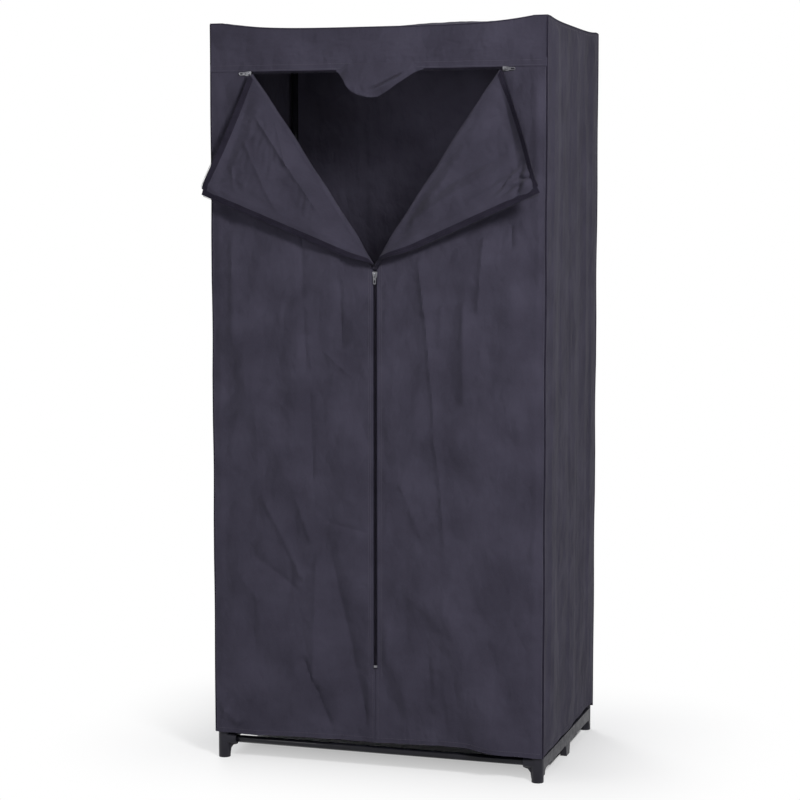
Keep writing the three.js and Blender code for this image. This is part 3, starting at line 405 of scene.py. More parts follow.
def cloth_piece(name, points, flat, thickness=CLOTH):
    """A cloth sheet of real thickness over a grid of points in the row frame."""
    obj = linked(name, grid_mesh(name, points, flat))
    wall = obj.modifiers.new("thickness", "SOLIDIFY")
    wall.thickness = thickness
    wall.offset = 0
    wall.use_even_offset = True
    return with_modifiers_applied(obj)


def declare(obj, flat):
    size = flat.reshape(-1, 2).max(0) - flat.reshape(-1, 2).min(0)
    whole = float(size[0] * size[1])
    min(flat_area(flat), whole)


def cover_sheet(name, points, flat, nodes=()):
    """A sheet of the cover that stays with the frame, from a grid in cover coordinates."""
    declare(finished(cloth_piece(name, points + MIDDLE, flat), "cloth", nodes), flat)


def smooth(value, start, end):
    share = np.clip((value - start) / (end - start), 0, 1)
    return share * share * (3 - 2 * share)


def lerp(a, b, share):
    return a + (b - a) * share


# Relief of the cloth

FOLD_HALF_WIDTH = 0.04
FOLD_HEIGHT = 0.007
CREASE_FADE = 0.12
SEEDS = {"roof": 5, "fold": 7, "front_left": 11, "front_right": 23, "header": 37, "back": 61, "tongue": 71,
         "side_left": 83, "side_right": 97, "flap_left": 131, "flap_right": 149, "knot": 171}


def ridges(u, v, size, table, sharp=False):
    """Soft or pressed ridges over a panel. A row of the table gives both ends in shares of the
    panel, then the half-width and the rise as shares of an ordinary fold's."""
    total = np.zeros_like(u)
    for (x0, y0), (x1, y1), wide, high in table:
        start = np.array([x0 * size[0], y0 * size[1]])
        run = np.array([x1 * size[0], y1 * size[1]]) - start
        share = np.clip(((u - start[0]) * run[0] + (v - start[1]) * run[1]) / (run @ run), 0, 1)
        away = np.hypot(u - start[0] - share * run[0], v - start[1] - share * run[1])
        away = away / (FOLD_HALF_WIDTH * wide)
        ends = smooth(share, 0, CREASE_FADE) * smooth(1 - share, 0, CREASE_FADE) if sharp else 1
        total += FOLD_HEIGHT * high * (np.exp(-away) * ends if sharp else np.exp(-away**2))
    return total


def folds_and_creases(u, v, size, folds, creases, gains=(1, 1)):
    soft, pressed = ridges(u, v, size, folds), ridges(u, v, size, creases, sharp=True)
    return soft * gains[0] + pressed * gains[1]


def ripples(u, v, length, seed):
    """Uneven waves of about that length, roughly from -1 to 1."""
    dice = np.random.default_rng(seed)
    total = np.zeros_like(u)
    count = 14
    turns, phases = dice.uniform(0, math.pi, count), dice.uniform(0, 2 * math.pi, count)
    for turn, phase, share in zip(turns, phases, dice.uniform(0.6, 1.7, count)):
        total += np.sin((u * math.cos(turn) + v * math.sin(turn)) * 2 * math.pi / (length * share) + phase)
    return total / math.sqrt(count)


def cloth_wear(u, v, seed, strength=1.0, upright=0.4):
    """The relief that every panel has: slow waves and the flat facets between pressed creases.
    upright is how fast it changes up the cloth against how fast it changes across."""
    slow = ripples(u, v * upright, 0.3, seed) * 0.0025
    facets = np.abs(ripples(u, v * upright, 0.24, seed + 1)) * 0.0045
    facets -= np.abs(ripples(u * 0.9, v * upright * 1.5, 0.13, seed + 2)) * 0.0024
    small = np.abs(ripples(u, v * upright * 2, 0.05, seed + 3)) * 0.0012
    return strength * (slow + facets + small)


def droop(place, hub):
    return np.maximum(0, 1 - np.abs(place / hub) ** 4)


def roof_height(x, y):
    return HEIGHT - CLOTH / 2 - FRONT_SAG * droop(x, HUB_X) - SIDE_SAG * droop(y, HUB_Y)


def wall_top(x, y):
    return roof_height(x, y) - CLOTH / 2 - PIECE_GAP


HEM_PLACES = [-0.37, -0.277, -0.172, 0, 0.145, 0.215, 0.29, 0.37]
HEM_HEIGHTS = [0.0585, 0.0575, 0.061, 0.0610, 0.0665, 0.0655, 0.0575, 0.0535]
HEM_BAND = 0.013
HEM_RISE = 0.0007
HEM_EDGE = 0.001


def hem_height(along):
    return np.interp(along, HEM_PLACES, HEM_HEIGHTS)


def hem_step(above_hem):
    """The doubled cloth of a hem stands a little proud of the panel."""
    return HEM_RISE * (1 - smooth(above_hem, HEM_BAND - HEM_EDGE, HEM_BAND + HEM_EDGE))


# Rows of small repeated pieces: stitches and zip teeth

def row_tree():
    """Geometry nodes: a straight row of rounded bars, for stitching and zip teeth."""
    tree = bpy.data.node_groups.new("row_of_bars", "GeometryNodeTree")
    face = tree.interface
    face.new_socket("Geometry", in_out="OUTPUT", socket_type="NodeSocketGeometry")
    for name, kind in (("Count", "Int"), ("Start", "Vector"), ("Step", "Vector"), ("Bar Size", "Vector"),
                       ("Bar Turn", "Vector"), ("Bar Sides", "Int"), ("Finish", "Material")):
        face.new_socket(name, in_out="INPUT", socket_type="NodeSocket" + kind)
    given = tree.nodes.new("NodeGroupInput").outputs
    line = add_node(tree, "GeometryNodeMeshLine", {
        "Count": given["Count"], "Start Location": given["Start"], "Offset": given["Step"]}, mode="OFFSET")
    bar = add_node(tree, "GeometryNodeMeshCylinder", {
        "Radius": 0.5, "Depth": 1, "Vertices": given["Bar Sides"]})
    turn = add_node(tree, "FunctionNodeEulerToRotation", {"Euler": given["Bar Turn"]})
    spread = add_node(tree, "GeometryNodeInstanceOnPoints", {
        "Points": line, "Instance": bar, "Rotation": turn, "Scale": given["Bar Size"]})
    real = add_node(tree, "GeometryNodeRealizeInstances", {"Geometry": spread})
    painted = add_node(tree, "GeometryNodeSetMaterial", {"Geometry": real, "Material": given["Finish"]})
    add_node(tree, "NodeGroupOutput", {"Geometry": painted})
    return tree


ROW_TREE = row_tree()
ROW_INPUTS = {item.name: item.identifier for item in ROW_TREE.interface.items_tree
              if item.in_out == "INPUT"}
TURN_ALONG = {"x": (0, math.pi / 2, 0), "y": (math.pi / 2, 0, 0), "z": (0, 0, 0)}


def row_of_bars(count, start, step, size, turn, sides, finish):
    """Points and faces of one row, in cover coordinates."""
    holder = linked("row", bpy.data.meshes.new("row"))
    modifier = holder.modifiers.new("row", "NODES")
    modifier.node_group = ROW_TREE
    values = {"Count": count, "Start": start, "Step": step, "Bar Size": size, "Bar Turn": turn,
              "Bar Sides": sides, "Finish": finish}
    for name, value in values.items():
        modifier[ROW_INPUTS[name]] = value
    holder.update_tag()
    mesh = evaluated(holder)
    points = np.empty(len(mesh.vertices) * 3)
    mesh.vertices.foreach_get("co", points)
    faces = [tuple(p.vertices) for p in mesh.polygons]
    bpy.data.objects.remove(holder)
    bpy.data.meshes.remove(mesh)
    return points.reshape(-1, 3), faces


def rows_piece(name, rows, drape):
    """One piece from several rows, each carried onto its cloth by drape."""
    points, faces, base = [], [], 0
    for row_points, row_faces in rows:
        points.append(drape(row_points))
        faces += [tuple(base + i for i in face) for face in row_faces]
        base += len(row_points)
    mesh = bpy.data.meshes.new(name)
    mesh.from_pydata(np.concatenate(points).tolist(), [], faces)
    return linked(name, shaded(mesh))


STITCH_PITCH = 0.0042
STITCH_SIZE = (0.0006, 0.0006, 0.0029)
STITCH_SIDES = 5
STITCH_CLEAR = 0.0001
STITCH_INSET = 0.003


def stitches(start, end):
    """A row of stitches between two points, along x, y or z."""
    start, end = np.array(start, float), np.array(end, float)
    run = end - start
    length = float(np.linalg.norm(run))
    axis = "xyz"[int(np.argmax(np.abs(run)))]
    count = max(2, int(length / STITCH_PITCH))
    return row_of_bars(count, tuple(start), tuple(run / count), STITCH_SIZE, TURN_ALONG[axis],
                       STITCH_SIDES, finishes["thread"])


def stitching(name, rows, lift):
    """Rows of stitches on the cover. lift moves their points onto the cloth, in place."""
    def drape(bars):
        lift(bars)
        return bars + MIDDLE

    finished(rows_piece(f"stitching_{name}", rows, drape), "thread")


# Front panels, header, roof, back and sides

FRONT_SIZE = (HALF_WIDTH, HEADER_BOTTOM - RELIEF_FOOT)
FRONT_FOLDS = {
    "left": [
        ((0.14, 0.60), (0.49, 0.385), 0.75, 0.9), ((0.30, 0.72), (0.22, 0.50), 0.8, 0.5),
        ((0.20, 0.24), (0.42, 0.13), 0.9, 0.6), ((0.55, 0.62), (0.52, 0.45), 0.8, 0.6),
        ((0.04, 0.36), (0.05, 0.05), 0.6, -0.5), ((0.80, 0.50), (0.84, 0.38), 0.7, 0.4),
    ],
    "right": [
        ((0.83, 0.238), (0.535, 0.198), 0.9, 0.9), ((0.535, 0.198), (0.30, 0.015), 1.0, 1.1),
        ((0.94, 0.156), (0.80, 0.067), 0.65, 0.8), ((0.83, 0.475), (0.45, 0.453), 1.1, 0.9),
        ((0.45, 0.453), (0.04, 0.51), 1.1, 0.9), ((0.24, 0.70), (0.20, 0.56), 0.9, 0.6),
    ],
}
FRONT_CREASES = {
    "left": [
        ((0.13, 0.77), (0.14, 0.60), 0.35, 0.6), ((0.30, 0.373), (0.575, 0.237), 0.3, 0.7),
        ((0.506, 0.37), (0.617, 0.297), 0.18, 0.4), ((0.185, 0.287), (0.556, 0.219), 0.24, -0.45),
        ((0.65, 0.294), (0.62, 0.07), 0.5, 0.8), ((0.72, 0.294), (0.957, 0.01), 0.5, -0.8),
        ((0.556, 0.128), (0.728, 0.014), 0.22, -0.65), ((0.167, 0.246), (0.30, 0.207), 0.26, 0.4),
        ((0.79, 0.70), (0.80, 0.588), 0.22, -0.5), ((0.568, 0.656), (0.593, 0.548), 0.2, -0.5),
        ((0.605, 0.535), (0.617, 0.385), 0.14, -0.35), ((0.69, 0.588), (0.858, 0.549), 0.14, 0.3),
        ((0.69, 0.333), (0.975, 0.317), 0.14, -0.3), ((0.556, 0.765), (0.56, 0.66), 0.15, -0.35),
        ((0.03, 0.045), (0.16, 0.012), 0.2, 0.6), ((0.05, 0.02), (0.10, 0.055), 0.16, 0.5),
    ],
    "right": [
        ((0.35, 0.762), (0.39, 0.643), 0.3, 0.7), ((0.198, 0.777), (0.198, 0.736), 0.12, -0.4),
        ((0.47, 0.669), (0.47, 0.505), 0.3, 0.6), ((0.71, 0.69), (0.575, 0.275), 0.18, 0.45),
        ((0.855, 0.397), (0.715, 0.309), 0.18, 0.4), ((0.68, 0.141), (0.663, 0.067), 0.22, -0.4),
        ((0.738, 0.728), (0.70, 0.639), 0.22, 0.5), ((0.605, 0.66), (0.616, 0.594), 0.16, 0.4),
        ((0.52, 0.24), (0.34, 0.16), 0.2, 0.35), ((0.62, 0.12), (0.56, 0.01), 0.2, -0.35),
    ],
}
# How strongly the soft folds and the pressed creases show
FRONT_GAINS = (1.85, 2.1)
EDGE_FADE = 0.03
FOLD_FADE = 0.06
POST_PLACE = 0.352
POST_WIDTH = 0.008
POST_RISE = 0.0022
POST_FADE = 0.05
# Upright rows of stitches: distance from the middle, foot and head
SEAM_ROW, CORNER_ROW = 0.006, 0.366
FRONT_ROWS = [
    (0.0105, ZIP_BOTTOM + 0.01, FOLD_BOTTOM + 0.01),
    (0.0145, ZIP_BOTTOM - 0.02, FOLD_BOTTOM + 0.014),
    (CORNER_ROW, 0.07, HEADER_BOTTOM),
    (SEAM_ROW, 0.072, ZIP_BOTTOM - 0.012),
]


def front_relief(side, distance, z):
    """How far a front panel bulges forwards, at a distance from the centre line and a height."""
    name = "left" if side < 0 else "right"
    u, v = HALF_WIDTH - distance, z - RELIEF_FOOT
    to_fold = (distance - FOLD_HALF * (z - FOLD_BOTTOM) / FOLD_RISE) * (FOLD_RISE / FOLD_LENGTH)
    fade = (smooth(u, 0, EDGE_FADE) * smooth(distance, CHAIN_TO_CLOTH, EDGE_FADE)
            * smooth(to_fold, 0, FOLD_FADE) * smooth(HEADER_BOTTOM - z, 0, FOLD_FADE))
    relief = folds_and_creases(u, v, FRONT_SIZE, FRONT_FOLDS[name], FRONT_CREASES[name], FRONT_GAINS)
    wear = cloth_wear(side * distance, z, SEEDS["front_" + name])
    # The cloth over the post stands out, but not where that would widen the corner
    post = POST_RISE * np.exp(-(((distance - POST_PLACE) / POST_WIDTH) ** 2))
    post = post * smooth(HEADER_BOTTOM - z, 0, POST_FADE) * smooth(u, 0, POST_WIDTH)
    return fade * (relief + wear) + post


def centre_edge(z):
    return lerp(PIECE_GAP, CHAIN_TO_CLOTH, smooth(z, ZIP_BOTTOM - SEAM_BLEND, ZIP_BOTTOM))


def front_top(distance):
    slanted = np.minimum(FOLD_BOTTOM + distance * FOLD_SLOPE, OPENING_TOP - CHAIN_TO_CLOTH)
    return np.where(distance >= OPENING_HALF, HEADER_BOTTOM - PIECE_GAP, slanted)


def front_panel(side_name):
    side = SIDES[side_name]
    inner, outer = np.linspace(0, FOLD_END, 74), np.linspace(OPENING_HALF, HALF_WIDTH, 17)
    beside_opening = OPENING_HALF - 0.003
    shares = np.concatenate([inner, [beside_opening], outer]) / HALF_WIDTH
    if side < 0:
        shares = shares[::-1]
    near_hem = 0.16
    rows = np.concatenate([np.linspace(0, near_hem, 64)[:-1], np.linspace(near_hem, 1, 250)])
    across, up = np.meshgrid(shares, rows)
    z = lerp(hem_height(side * HALF_WIDTH * across), front_top(HALF_WIDTH * across), up)
    distance = np.maximum(HALF_WIDTH * across, lerp(centre_edge(z), HALF_WIDTH, across))
    x = side * distance
    relief = front_relief(side, distance, z) + hem_step(z - hem_height(x))
    cover_sheet(f"cloth_front_{side_name}", np.stack([x, FRONT - relief, z], -1), np.stack([x, z], -1),
                [f"front_{side_name}"])

    def lift(bars):
        step = hem_step(bars[:, 2] - hem_height(bars[:, 0]))
        bars[:, 1] -= front_relief(side, np.abs(bars[:, 0]), bars[:, 2]) + step

    skin = FRONT - CLOTH / 2 - STITCH_CLEAR
    rows = [stitches((side * away, skin, low), (side * away, skin, high)) for away, low, high in FRONT_ROWS]
    hem_row = stitches((side * SEAM_ROW, skin, 0), (side * CORNER_ROW, skin, 0))
    hem_row[0][:, 2] += hem_height(hem_row[0][:, 0]) + HEM_BAND - STITCH_INSET
    stitching(f"front_{side_name}", rows + [hem_row], lift)


def seam_lap():
    """The seam allowance behind the joined edges below the zip."""
    half_width, behind, foot, head = 0.008, 0.0018, 0.064, ZIP_BOTTOM - 0.003
    x, z = np.meshgrid(np.linspace(-half_width, half_width, 5), np.linspace(foot, head, 90))
    points = np.stack([x, np.full_like(x, FRONT + behind), z], -1)
    cover_sheet("cloth_seam_lap", points, np.stack([x, z], -1))


HEADER_FOLDS = [((0.08, 0.62), (0.44, 0.40), 0.7, 0.35), ((0.55, 0.45), (0.92, 0.66), 0.7, 0.4)]
HEADER_CREASES = [
    ((0.02, 0.80), (0.40, 0.70), 0.12, 0.22), ((0.30, 0.50), (0.72, 0.58), 0.12, 0.2),
    ((0.60, 0.80), (0.98, 0.86), 0.12, 0.22), ((0.05, 0.30), (0.30, 0.42), 0.10, 0.18),
]
HEADER_FADE = 0.032
HEADER_BAND = 0.017
BAND_RISE = 0.0012
BAND_EDGE = 0.0015
GATHER_RISE = 0.0007
GATHER_PITCH = 0.021
GATHER_REACH = 0.006
GATHER_FADE = 0.03


def header_relief(x, z):
    top = wall_top(x, FRONT)
    u, v = x + HALF_WIDTH, z - HEADER_BOTTOM
    to_side = HALF_WIDTH - np.abs(x)
    size = (2 * HALF_WIDTH, HEIGHT - HEADER_BOTTOM)
    relief = folds_and_creases(u, v, size, HEADER_FOLDS, HEADER_CREASES)
    relief += cloth_wear(x, z, SEEDS["header"], strength=0.7, upright=1.6)
    relief *= smooth(np.minimum(np.minimum(top - z, v), to_side), 0, HEADER_FADE)
    band = BAND_RISE * (1 - smooth(v, HEADER_BAND - BAND_EDGE, HEADER_BAND + BAND_EDGE))
    gather = GATHER_RISE * np.sin(x * 2 * math.pi / GATHER_PITCH)
    gather = gather * np.exp(-(((v - HEADER_BAND) / GATHER_REACH) ** 2)) * smooth(to_side, 0, GATHER_FADE)
    return relief + band + gather


def header():
    x, up = np.meshgrid(np.linspace(-HALF_WIDTH, HALF_WIDTH, 190), np.linspace(0, 1, 40))
    z = lerp(HEADER_BOTTOM, wall_top(x, FRONT), up)
    points = np.stack([x, FRONT - header_relief(x, z), z], -1)
    cover_sheet("cloth_header", points, np.stack([x, z], -1), ["header"])

    def lift(bars):
        bars[:, 1] -= header_relief(bars[:, 0], bars[:, 2])

    skin, reach, under_band = FRONT - CLOTH / 2 - STITCH_CLEAR, 0.362, 0.004
    heights = (HEADER_BOTTOM + STITCH_INSET, HEADER_BOTTOM + HEADER_BAND - under_band)
    stitching("header", [stitches((-reach, skin, z), (reach, skin, z)) for z in heights], lift)


# x from the middle, and how far the tongue reaches below the line where it comes out
TONGUE_LINE = OPENING_TOP + 0.003
TONGUE_OUTLINE = [
    (-0.084, 0.001), (-0.065, 0.020), (-0.052, 0.038), (-0.036, 0.050), (-0.008, 0.058), (0.010, 0.055),
    (0.026, 0.046), (0.046, 0.032), (0.070, 0.017), (0.087, 0.006), (0.106, 0.001),
]
# How far it stands in front of the cover: at its root, below that, and where it swells
TONGUE_CLEAR, TONGUE_OUT, TONGUE_SWELL = 0.0008, 0.0022, 0.0105
# How far its root rises behind the header, at the ends and in the middle
TONGUE_ROOT, TONGUE_ARCH = 0.001, 0.0155
# A place on the tuck, as x and depth under the opening's top, and the tuck's direction
TUCK_X, TUCK_BELOW = 0.003, 0.035
TUCK_RUN, TUCK_CLIMB = 0.886, 0.463
TUCK_DEPTH = 0.008
TUCK_HALF_WIDTH = 0.0028
# How steeply and how far the cloth under the tuck leans back
LEAN, LEAN_LIMIT = 1.1, 0.0185


def tongue():
    """Hangs from the header's seam. Its lower right edge is tucked back along a slanting crease."""
    left, right = TONGUE_OUTLINE[0][0], TONGUE_OUTLINE[-1][0]
    fine = np.linspace(left, right, 400)
    outline = np.interp(fine, *zip(*TONGUE_OUTLINE))
    outline = np.convolve(np.pad(outline, 12, "edge"), np.ones(25) / 25, "valid")
    u, v = np.meshgrid(np.linspace(0, 1, 170), np.linspace(0, 1, 100))
    x = lerp(right, left, u)
    middle = smooth(x - left, 0, 0.03) * smooth(right - x, 0, 0.03)
    root = HEADER_BOTTOM + TONGUE_ROOT + TONGUE_ARCH * middle
    z = lerp(root, TONGUE_LINE - np.interp(x, fine, outline), v)
    below = OPENING_TOP - z
    emerged = smooth(root - z, 0, 0.006)
    swell = TONGUE_SWELL * smooth(root - z, 0, 0.03) * middle + TONGUE_SWELL * smooth(below, 0, 0.035)
    across = (x - TUCK_X) * TUCK_RUN + (TUCK_BELOW - below) * TUCK_CLIMB
    under = (x - TUCK_X) * TUCK_CLIMB - (TUCK_BELOW - below) * TUCK_RUN
    turned = LEAN * np.maximum(0, under) * smooth(across, -0.03, 0.0) * middle
    tuck = TUCK_DEPTH * np.exp(-((under / TUCK_HALF_WIDTH) ** 2))
    tuck = tuck * smooth(across, -0.02, 0.005) * smooth(0.075 - across, 0, 0.02)
    seed = SEEDS["tongue"]
    waves = ripples(x, z, 0.06, seed) * 0.0011 + np.abs(ripples(x, z, 0.04, seed + 2)) * 0.0008
    waves = waves * smooth(below, -0.01, 0.012)
    out = TONGUE_CLEAR + TONGUE_OUT * emerged + swell + waves
    y = FRONT - out + np.minimum(turned, LEAN_LIMIT) + tuck
    cover_sheet("cloth_tongue", np.stack([x, y, z], -1), np.stack([x, z], -1),
                ["header_tongue"])


ROOF_FADE = 0.05
# A soft crest behind the front edge
CREST_RISE = 0.011
CREST_X, CREST_Y = 0.13, -0.16
CREST_LONG, CREST_DEEP = 0.13, 0.07


def roof():
    x, y = np.meshgrid(np.linspace(-HALF_WIDTH, HALF_WIDTH, 130), np.linspace(-HALF_DEPTH, HALF_DEPTH, 90))
    edge = np.minimum(HALF_WIDTH - np.abs(x), HALF_DEPTH - np.abs(y))
    crest = CREST_RISE * np.exp(-(((x - CREST_X) / CREST_LONG) ** 4))
    crest = crest * np.exp(-(((y - CREST_Y) / CREST_DEEP) ** 2))
    wear = cloth_wear(x, y, SEEDS["roof"], strength=0.5, upright=1)
    z = roof_height(x, y) + smooth(edge, 0, ROOF_FADE) * (crest + wear)
    cover_sheet("cloth_roof", np.stack([x, y, z], -1), np.stack([x, y], -1),
                ["cover_top"])


BACK_FOLDS = [
    ((0.12, 0.95), (0.14, 0.10), 1.3, 0.6), ((0.31, 0.90), (0.27, 0.30), 1.4, 0.5),
    ((0.48, 0.98), (0.50, 0.05), 1.5, 0.7), ((0.66, 0.80), (0.70, 0.15), 1.3, 0.5),
    ((0.86, 0.95), (0.85, 0.08), 1.3, 0.7),
]
SIDE_FOLDS = [
    ((0.14, 1.00), (0.12, 0.03), 0.85, 0.75), ((0.33, 0.97), (0.36, 0.20), 0.8, 0.5),
    ((0.52, 1.00), (0.50, 0.05), 0.85, 0.8), ((0.71, 0.85), (0.68, 0.10), 0.8, 0.5),
    ((0.88, 1.00), (0.86, 0.08), 0.85, 0.7),
]
SIDE_CREASES = [
    ((0.09, 1.00), (0.08, 0.02), 0.12, 0.42), ((0.27, 1.00), (0.26, 0.30), 0.12, 0.4),
    ((0.43, 0.98), (0.44, 0.02), 0.12, 0.45), ((0.59, 1.00), (0.58, 0.20), 0.10, 0.35),
    ((0.70, 1.00), (0.72, 0.05), 0.12, 0.4), ((0.84, 1.00), (0.83, 0.02), 0.12, 0.4),
    ((0.10, 0.30), (0.50, 0.24), 0.10, 0.25), ((0.40, 0.16), (0.95, 0.20), 0.10, 0.25),
]
BACK_CREASES = [
    ((0.25, 1.00), (0.25, 0.00), 0.12, 0.35), ((0.50, 1.00), (0.50, 0.00), 0.12, 0.3),
    ((0.75, 1.00), (0.75, 0.00), 0.12, 0.35), ((0.02, 0.50), (0.98, 0.50), 0.12, 0.3),
    ((0.02, 0.25), (0.98, 0.25), 0.10, 0.22), ((0.02, 0.75), (0.98, 0.75), 0.10, 0.22),
]
WALL_FADE = 0.032


def wall_relief(along, z, half, top, folds, creases, seed, worn=0.4):
    """How far a side or the back bulges outwards."""
    size = (2 * half, HEIGHT - RELIEF_FOOT)
    u, v = along + half, z - RELIEF_FOOT
    fade = smooth(half - np.abs(along), 0, WALL_FADE) * smooth(top - z, 0, WALL_FADE)
    relief = folds_and_creases(u, v, size, folds, creases)
    relief += cloth_wear(along, z, seed, strength=worn, upright=0.15)
    return fade * relief + hem_step(z - hem_height(along))


def back():
    x, up = np.meshgrid(np.linspace(HALF_WIDTH, -HALF_WIDTH, 120), np.linspace(0, 1, 230))
    top = wall_top(x, -FRONT)
    z = lerp(hem_height(x), top, up)
    relief = wall_relief(x, z, HALF_WIDTH, top, BACK_FOLDS, BACK_CREASES, SEEDS["back"], worn=0.8)
    cover_sheet("cloth_back", np.stack([x, -FRONT + relief, z], -1), np.stack([-x, z], -1),
                ["cover_back"])


def wall_side(side_name):
    side = SIDES[side_name]
    seed = SEEDS["side_" + side_name]
    reach = -FRONT - CLOTH / 2 - PIECE_GAP

    def relief(y, z):
        return wall_relief(y, z, reach, wall_top(side * SIDE, y), SIDE_FOLDS, SIDE_CREASES, seed)

    y, up = np.meshgrid(np.linspace(-reach, reach, 110) * side, np.linspace(0, 1, 230))
    z = lerp(hem_height(y), wall_top(side * SIDE, y), up)
    cover_sheet(f"cloth_side_{side_name}", np.stack([side * (SIDE + relief(y, z)), y, z], -1),
                np.stack([y * side, z], -1), [f"cover_side_{side_name}"])

    def lift(bars):
        bars[:, 0] += side * relief(bars[:, 1], bars[:, 2])

    skin = side * (SIDE + CLOTH / 2 + STITCH_CLEAR)
    foot, head = 0.07, 1.585
    inset, level_inset = 0.005, 0.006
    rows = [stitches((skin, y, foot), (skin, y, head)) for y in (inset - reach, reach - inset)]
    level = (skin, level_inset - reach, 0), (skin, reach - level_inset, 0)
    hem_row, top_row = stitches(*level), stitches(*level)
    hem_row[0][:, 2] += hem_height(hem_row[0][:, 1]) + HEM_BAND - STITCH_INSET
    top_row[0][:, 2] += wall_top(side * SIDE, top_row[0][:, 1]) - level_inset
    stitching(f"side_{side_name}", rows + [hem_row, top_row], lift)


WELT_OUT = 0.0002
# How far a corner's welt wanders sideways, at most, and over what height
WELT_SWAY, WELT_SWAY_OUT, WELT_WAVE = 0.0008, 0.0004, 0.31


def welt(name, path, radius=0.0017):
    """A corded seam along a path in cover coordinates."""
    length = np.concatenate([[0], np.cumsum(np.linalg.norm(np.diff(path, axis=0), axis=1))])
    path = path + MIDDLE
    curve = bpy.data.curves.new(name, "CURVE")
    curve.dimensions = "3D"
    curve.bevel_depth = radius
    curve.bevel_resolution = 2
    curve.use_fill_caps = True
    line = curve.splines.new("POLY")
    line.points.add(len(path) - 1)
    line.points.foreach_set("co", np.column_stack([path, np.ones(len(path))]).astype(np.float32).ravel())
    made = with_modifiers_applied(linked(name, curve))
    mesh = made.data
    corner = np.empty(len(mesh.loops), int)
    mesh.loops.foreach_get("vertex_index", corner)
    spot = np.empty(len(mesh.vertices) * 3)
    mesh.vertices.foreach_get("co", spot)
    spot = spot.reshape(-1, 3)
    nearest = np.abs(spot[:, None, :] - path[None]).sum(-1).argmin(1)
    layer = mesh.uv_layers.get("cut") or mesh.uv_layers.new(name="cut")
    flat = np.column_stack([spot[:, 0] + spot[:, 1], length[nearest]])
    layer.data.foreach_set("uv", flat[corner].astype(np.float32).ravel())
    finished(made, "zip_tape")


def corner_welts():
    steps = 150
    for side in (-1, 1):
        for end in (-1, 1):
            x, y = side * (SIDE + WELT_OUT), end * (-FRONT + WELT_OUT)
            z = np.linspace(float(hem_height(x)) + HEM_EDGE, float(wall_top(x, y)), steps)
            sway = WELT_SWAY * np.sin(z * 2 * math.pi / WELT_WAVE + side + end)
            sway = np.minimum(sway * np.sin((z - RELIEF_FOOT) * 2), WELT_SWAY_OUT)
            path = np.column_stack([x + side * sway, np.full(steps, y), z])
            name = f"seam_{'rear' if end > 0 else 'front'}_{'right' if side > 0 else 'left'}"
            welt(name, path)


def roof_welt():
    inset, sunk, radius = 0.0016, 0.0015, 0.0019
    loop = []
    half_x, half_y = HALF_WIDTH - inset, HALF_DEPTH - inset
    for a, b in (((-1, -1), (1, -1)), ((1, -1), (1, 1)), ((1, 1), (-1, 1)), ((-1, 1), (-1, -1))):
        for share in np.linspace(0, 1, 60)[:-1]:
            loop.append((lerp(a[0], b[0], share) * half_x, lerp(a[1], b[1], share) * half_y))
    loop.append(loop[0])
    flat = np.array(loop)
    z = roof_height(flat[:, 0], flat[:, 1]) - sunk
    welt("seam_roof", np.column_stack([flat, z]), radius)


# Flaps: drawn closed in cover coordinates, then turned back about the fold to rest

# The foot of both folds
HINGE = np.array([0, FRONT - ROLL_RADIUS, FOLD_BOTTOM])
TWIST_LENGTH = {"left": 0.07, "right": 0.1}


def fold_direction(side):
    return np.array([side * FOLD_HALF, 0, FOLD_RISE]) / FOLD_LENGTH


def fold_angle(side_name, along):
    """How far the cloth has turned along the fold. Near the fold's foot it turns only halfway."""
    reach = TWIST_LENGTH[side_name]
    whole = math.radians(max(joints[f"flap_{side_name}_fold"]["range_deg"]))
    return whole * smooth(along, -reach, reach)


def folded_back(side_name, points):
    """Turns closed points open about the fold."""
    side = SIDES[side_name]
    way = fold_direction(side)
    axis = way * -side
    from_hinge = points - HINGE
    angle = -fold_angle(side_name, from_hinge @ way)
    c, s = np.cos(angle)[..., None], np.sin(angle)[..., None]
    on_axis = (from_hinge @ axis)[..., None] * axis
    return HINGE + from_hinge * c + np.cross(axis, from_hinge) * s + on_axis * (1 - c) + MIDDLE


def bend_with_flap(obj, side_name):
    way = fold_direction(SIDES[side_name]) * TWIST_LENGTH[side_name]
    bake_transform(obj)


# The strip along the upper zip leans forwards from a sunken crease and the one along the centre zip
# leans back from a raised one: slope, and distance of the crease from its zip at the flap's corner
STRIP = {"left": (0.40, 0.036, 0.5, 0.026), "right": (0.75, 0.047, 0.5, 0.026)}
STRIP_AT_FOLD = 0.014
STRIP_FADE = 0.075
# Where the upper strip and the whole lift fade in, from the centre zip and from the fold
STRIP_ENDS, LIFT_ENDS = (0.004, 0.08), (0.004, 0.06)


def flap_lift(side_name, distance, z):
    """How far the creases along the zips stand proud of the flap's plane."""
    upper_slope, upper_width, centre_slope, centre_width = STRIP[side_name]
    from_top = np.maximum(0, OPENING_TOP - z)
    distance = np.maximum(0, distance)
    width = lerp(STRIP_AT_FOLD, upper_width, 1 - np.clip(distance / OPENING_HALF, 0, 1))
    upper = width * upper_slope * np.exp(-((np.maximum(0, from_top - width) / STRIP_FADE) ** 2))
    past_centre = np.maximum(0, distance - centre_width)
    centre = centre_width * centre_slope * np.exp(-((past_centre / STRIP_FADE) ** 2))
    upper = np.minimum(upper, from_top * upper_slope) * smooth(distance, *STRIP_ENDS)
    lift = np.minimum(centre, distance * centre_slope) - upper
    to_fold = (z - FOLD_BOTTOM - distance * FOLD_SLOPE) * (FOLD_HALF / FOLD_LENGTH)
    return lift * smooth(to_fold, *LIFT_ENDS)


FLAP_SIZE = (OPENING_HALF, FOLD_RISE)
FLAP_GAINS = (1.5, 2.6)
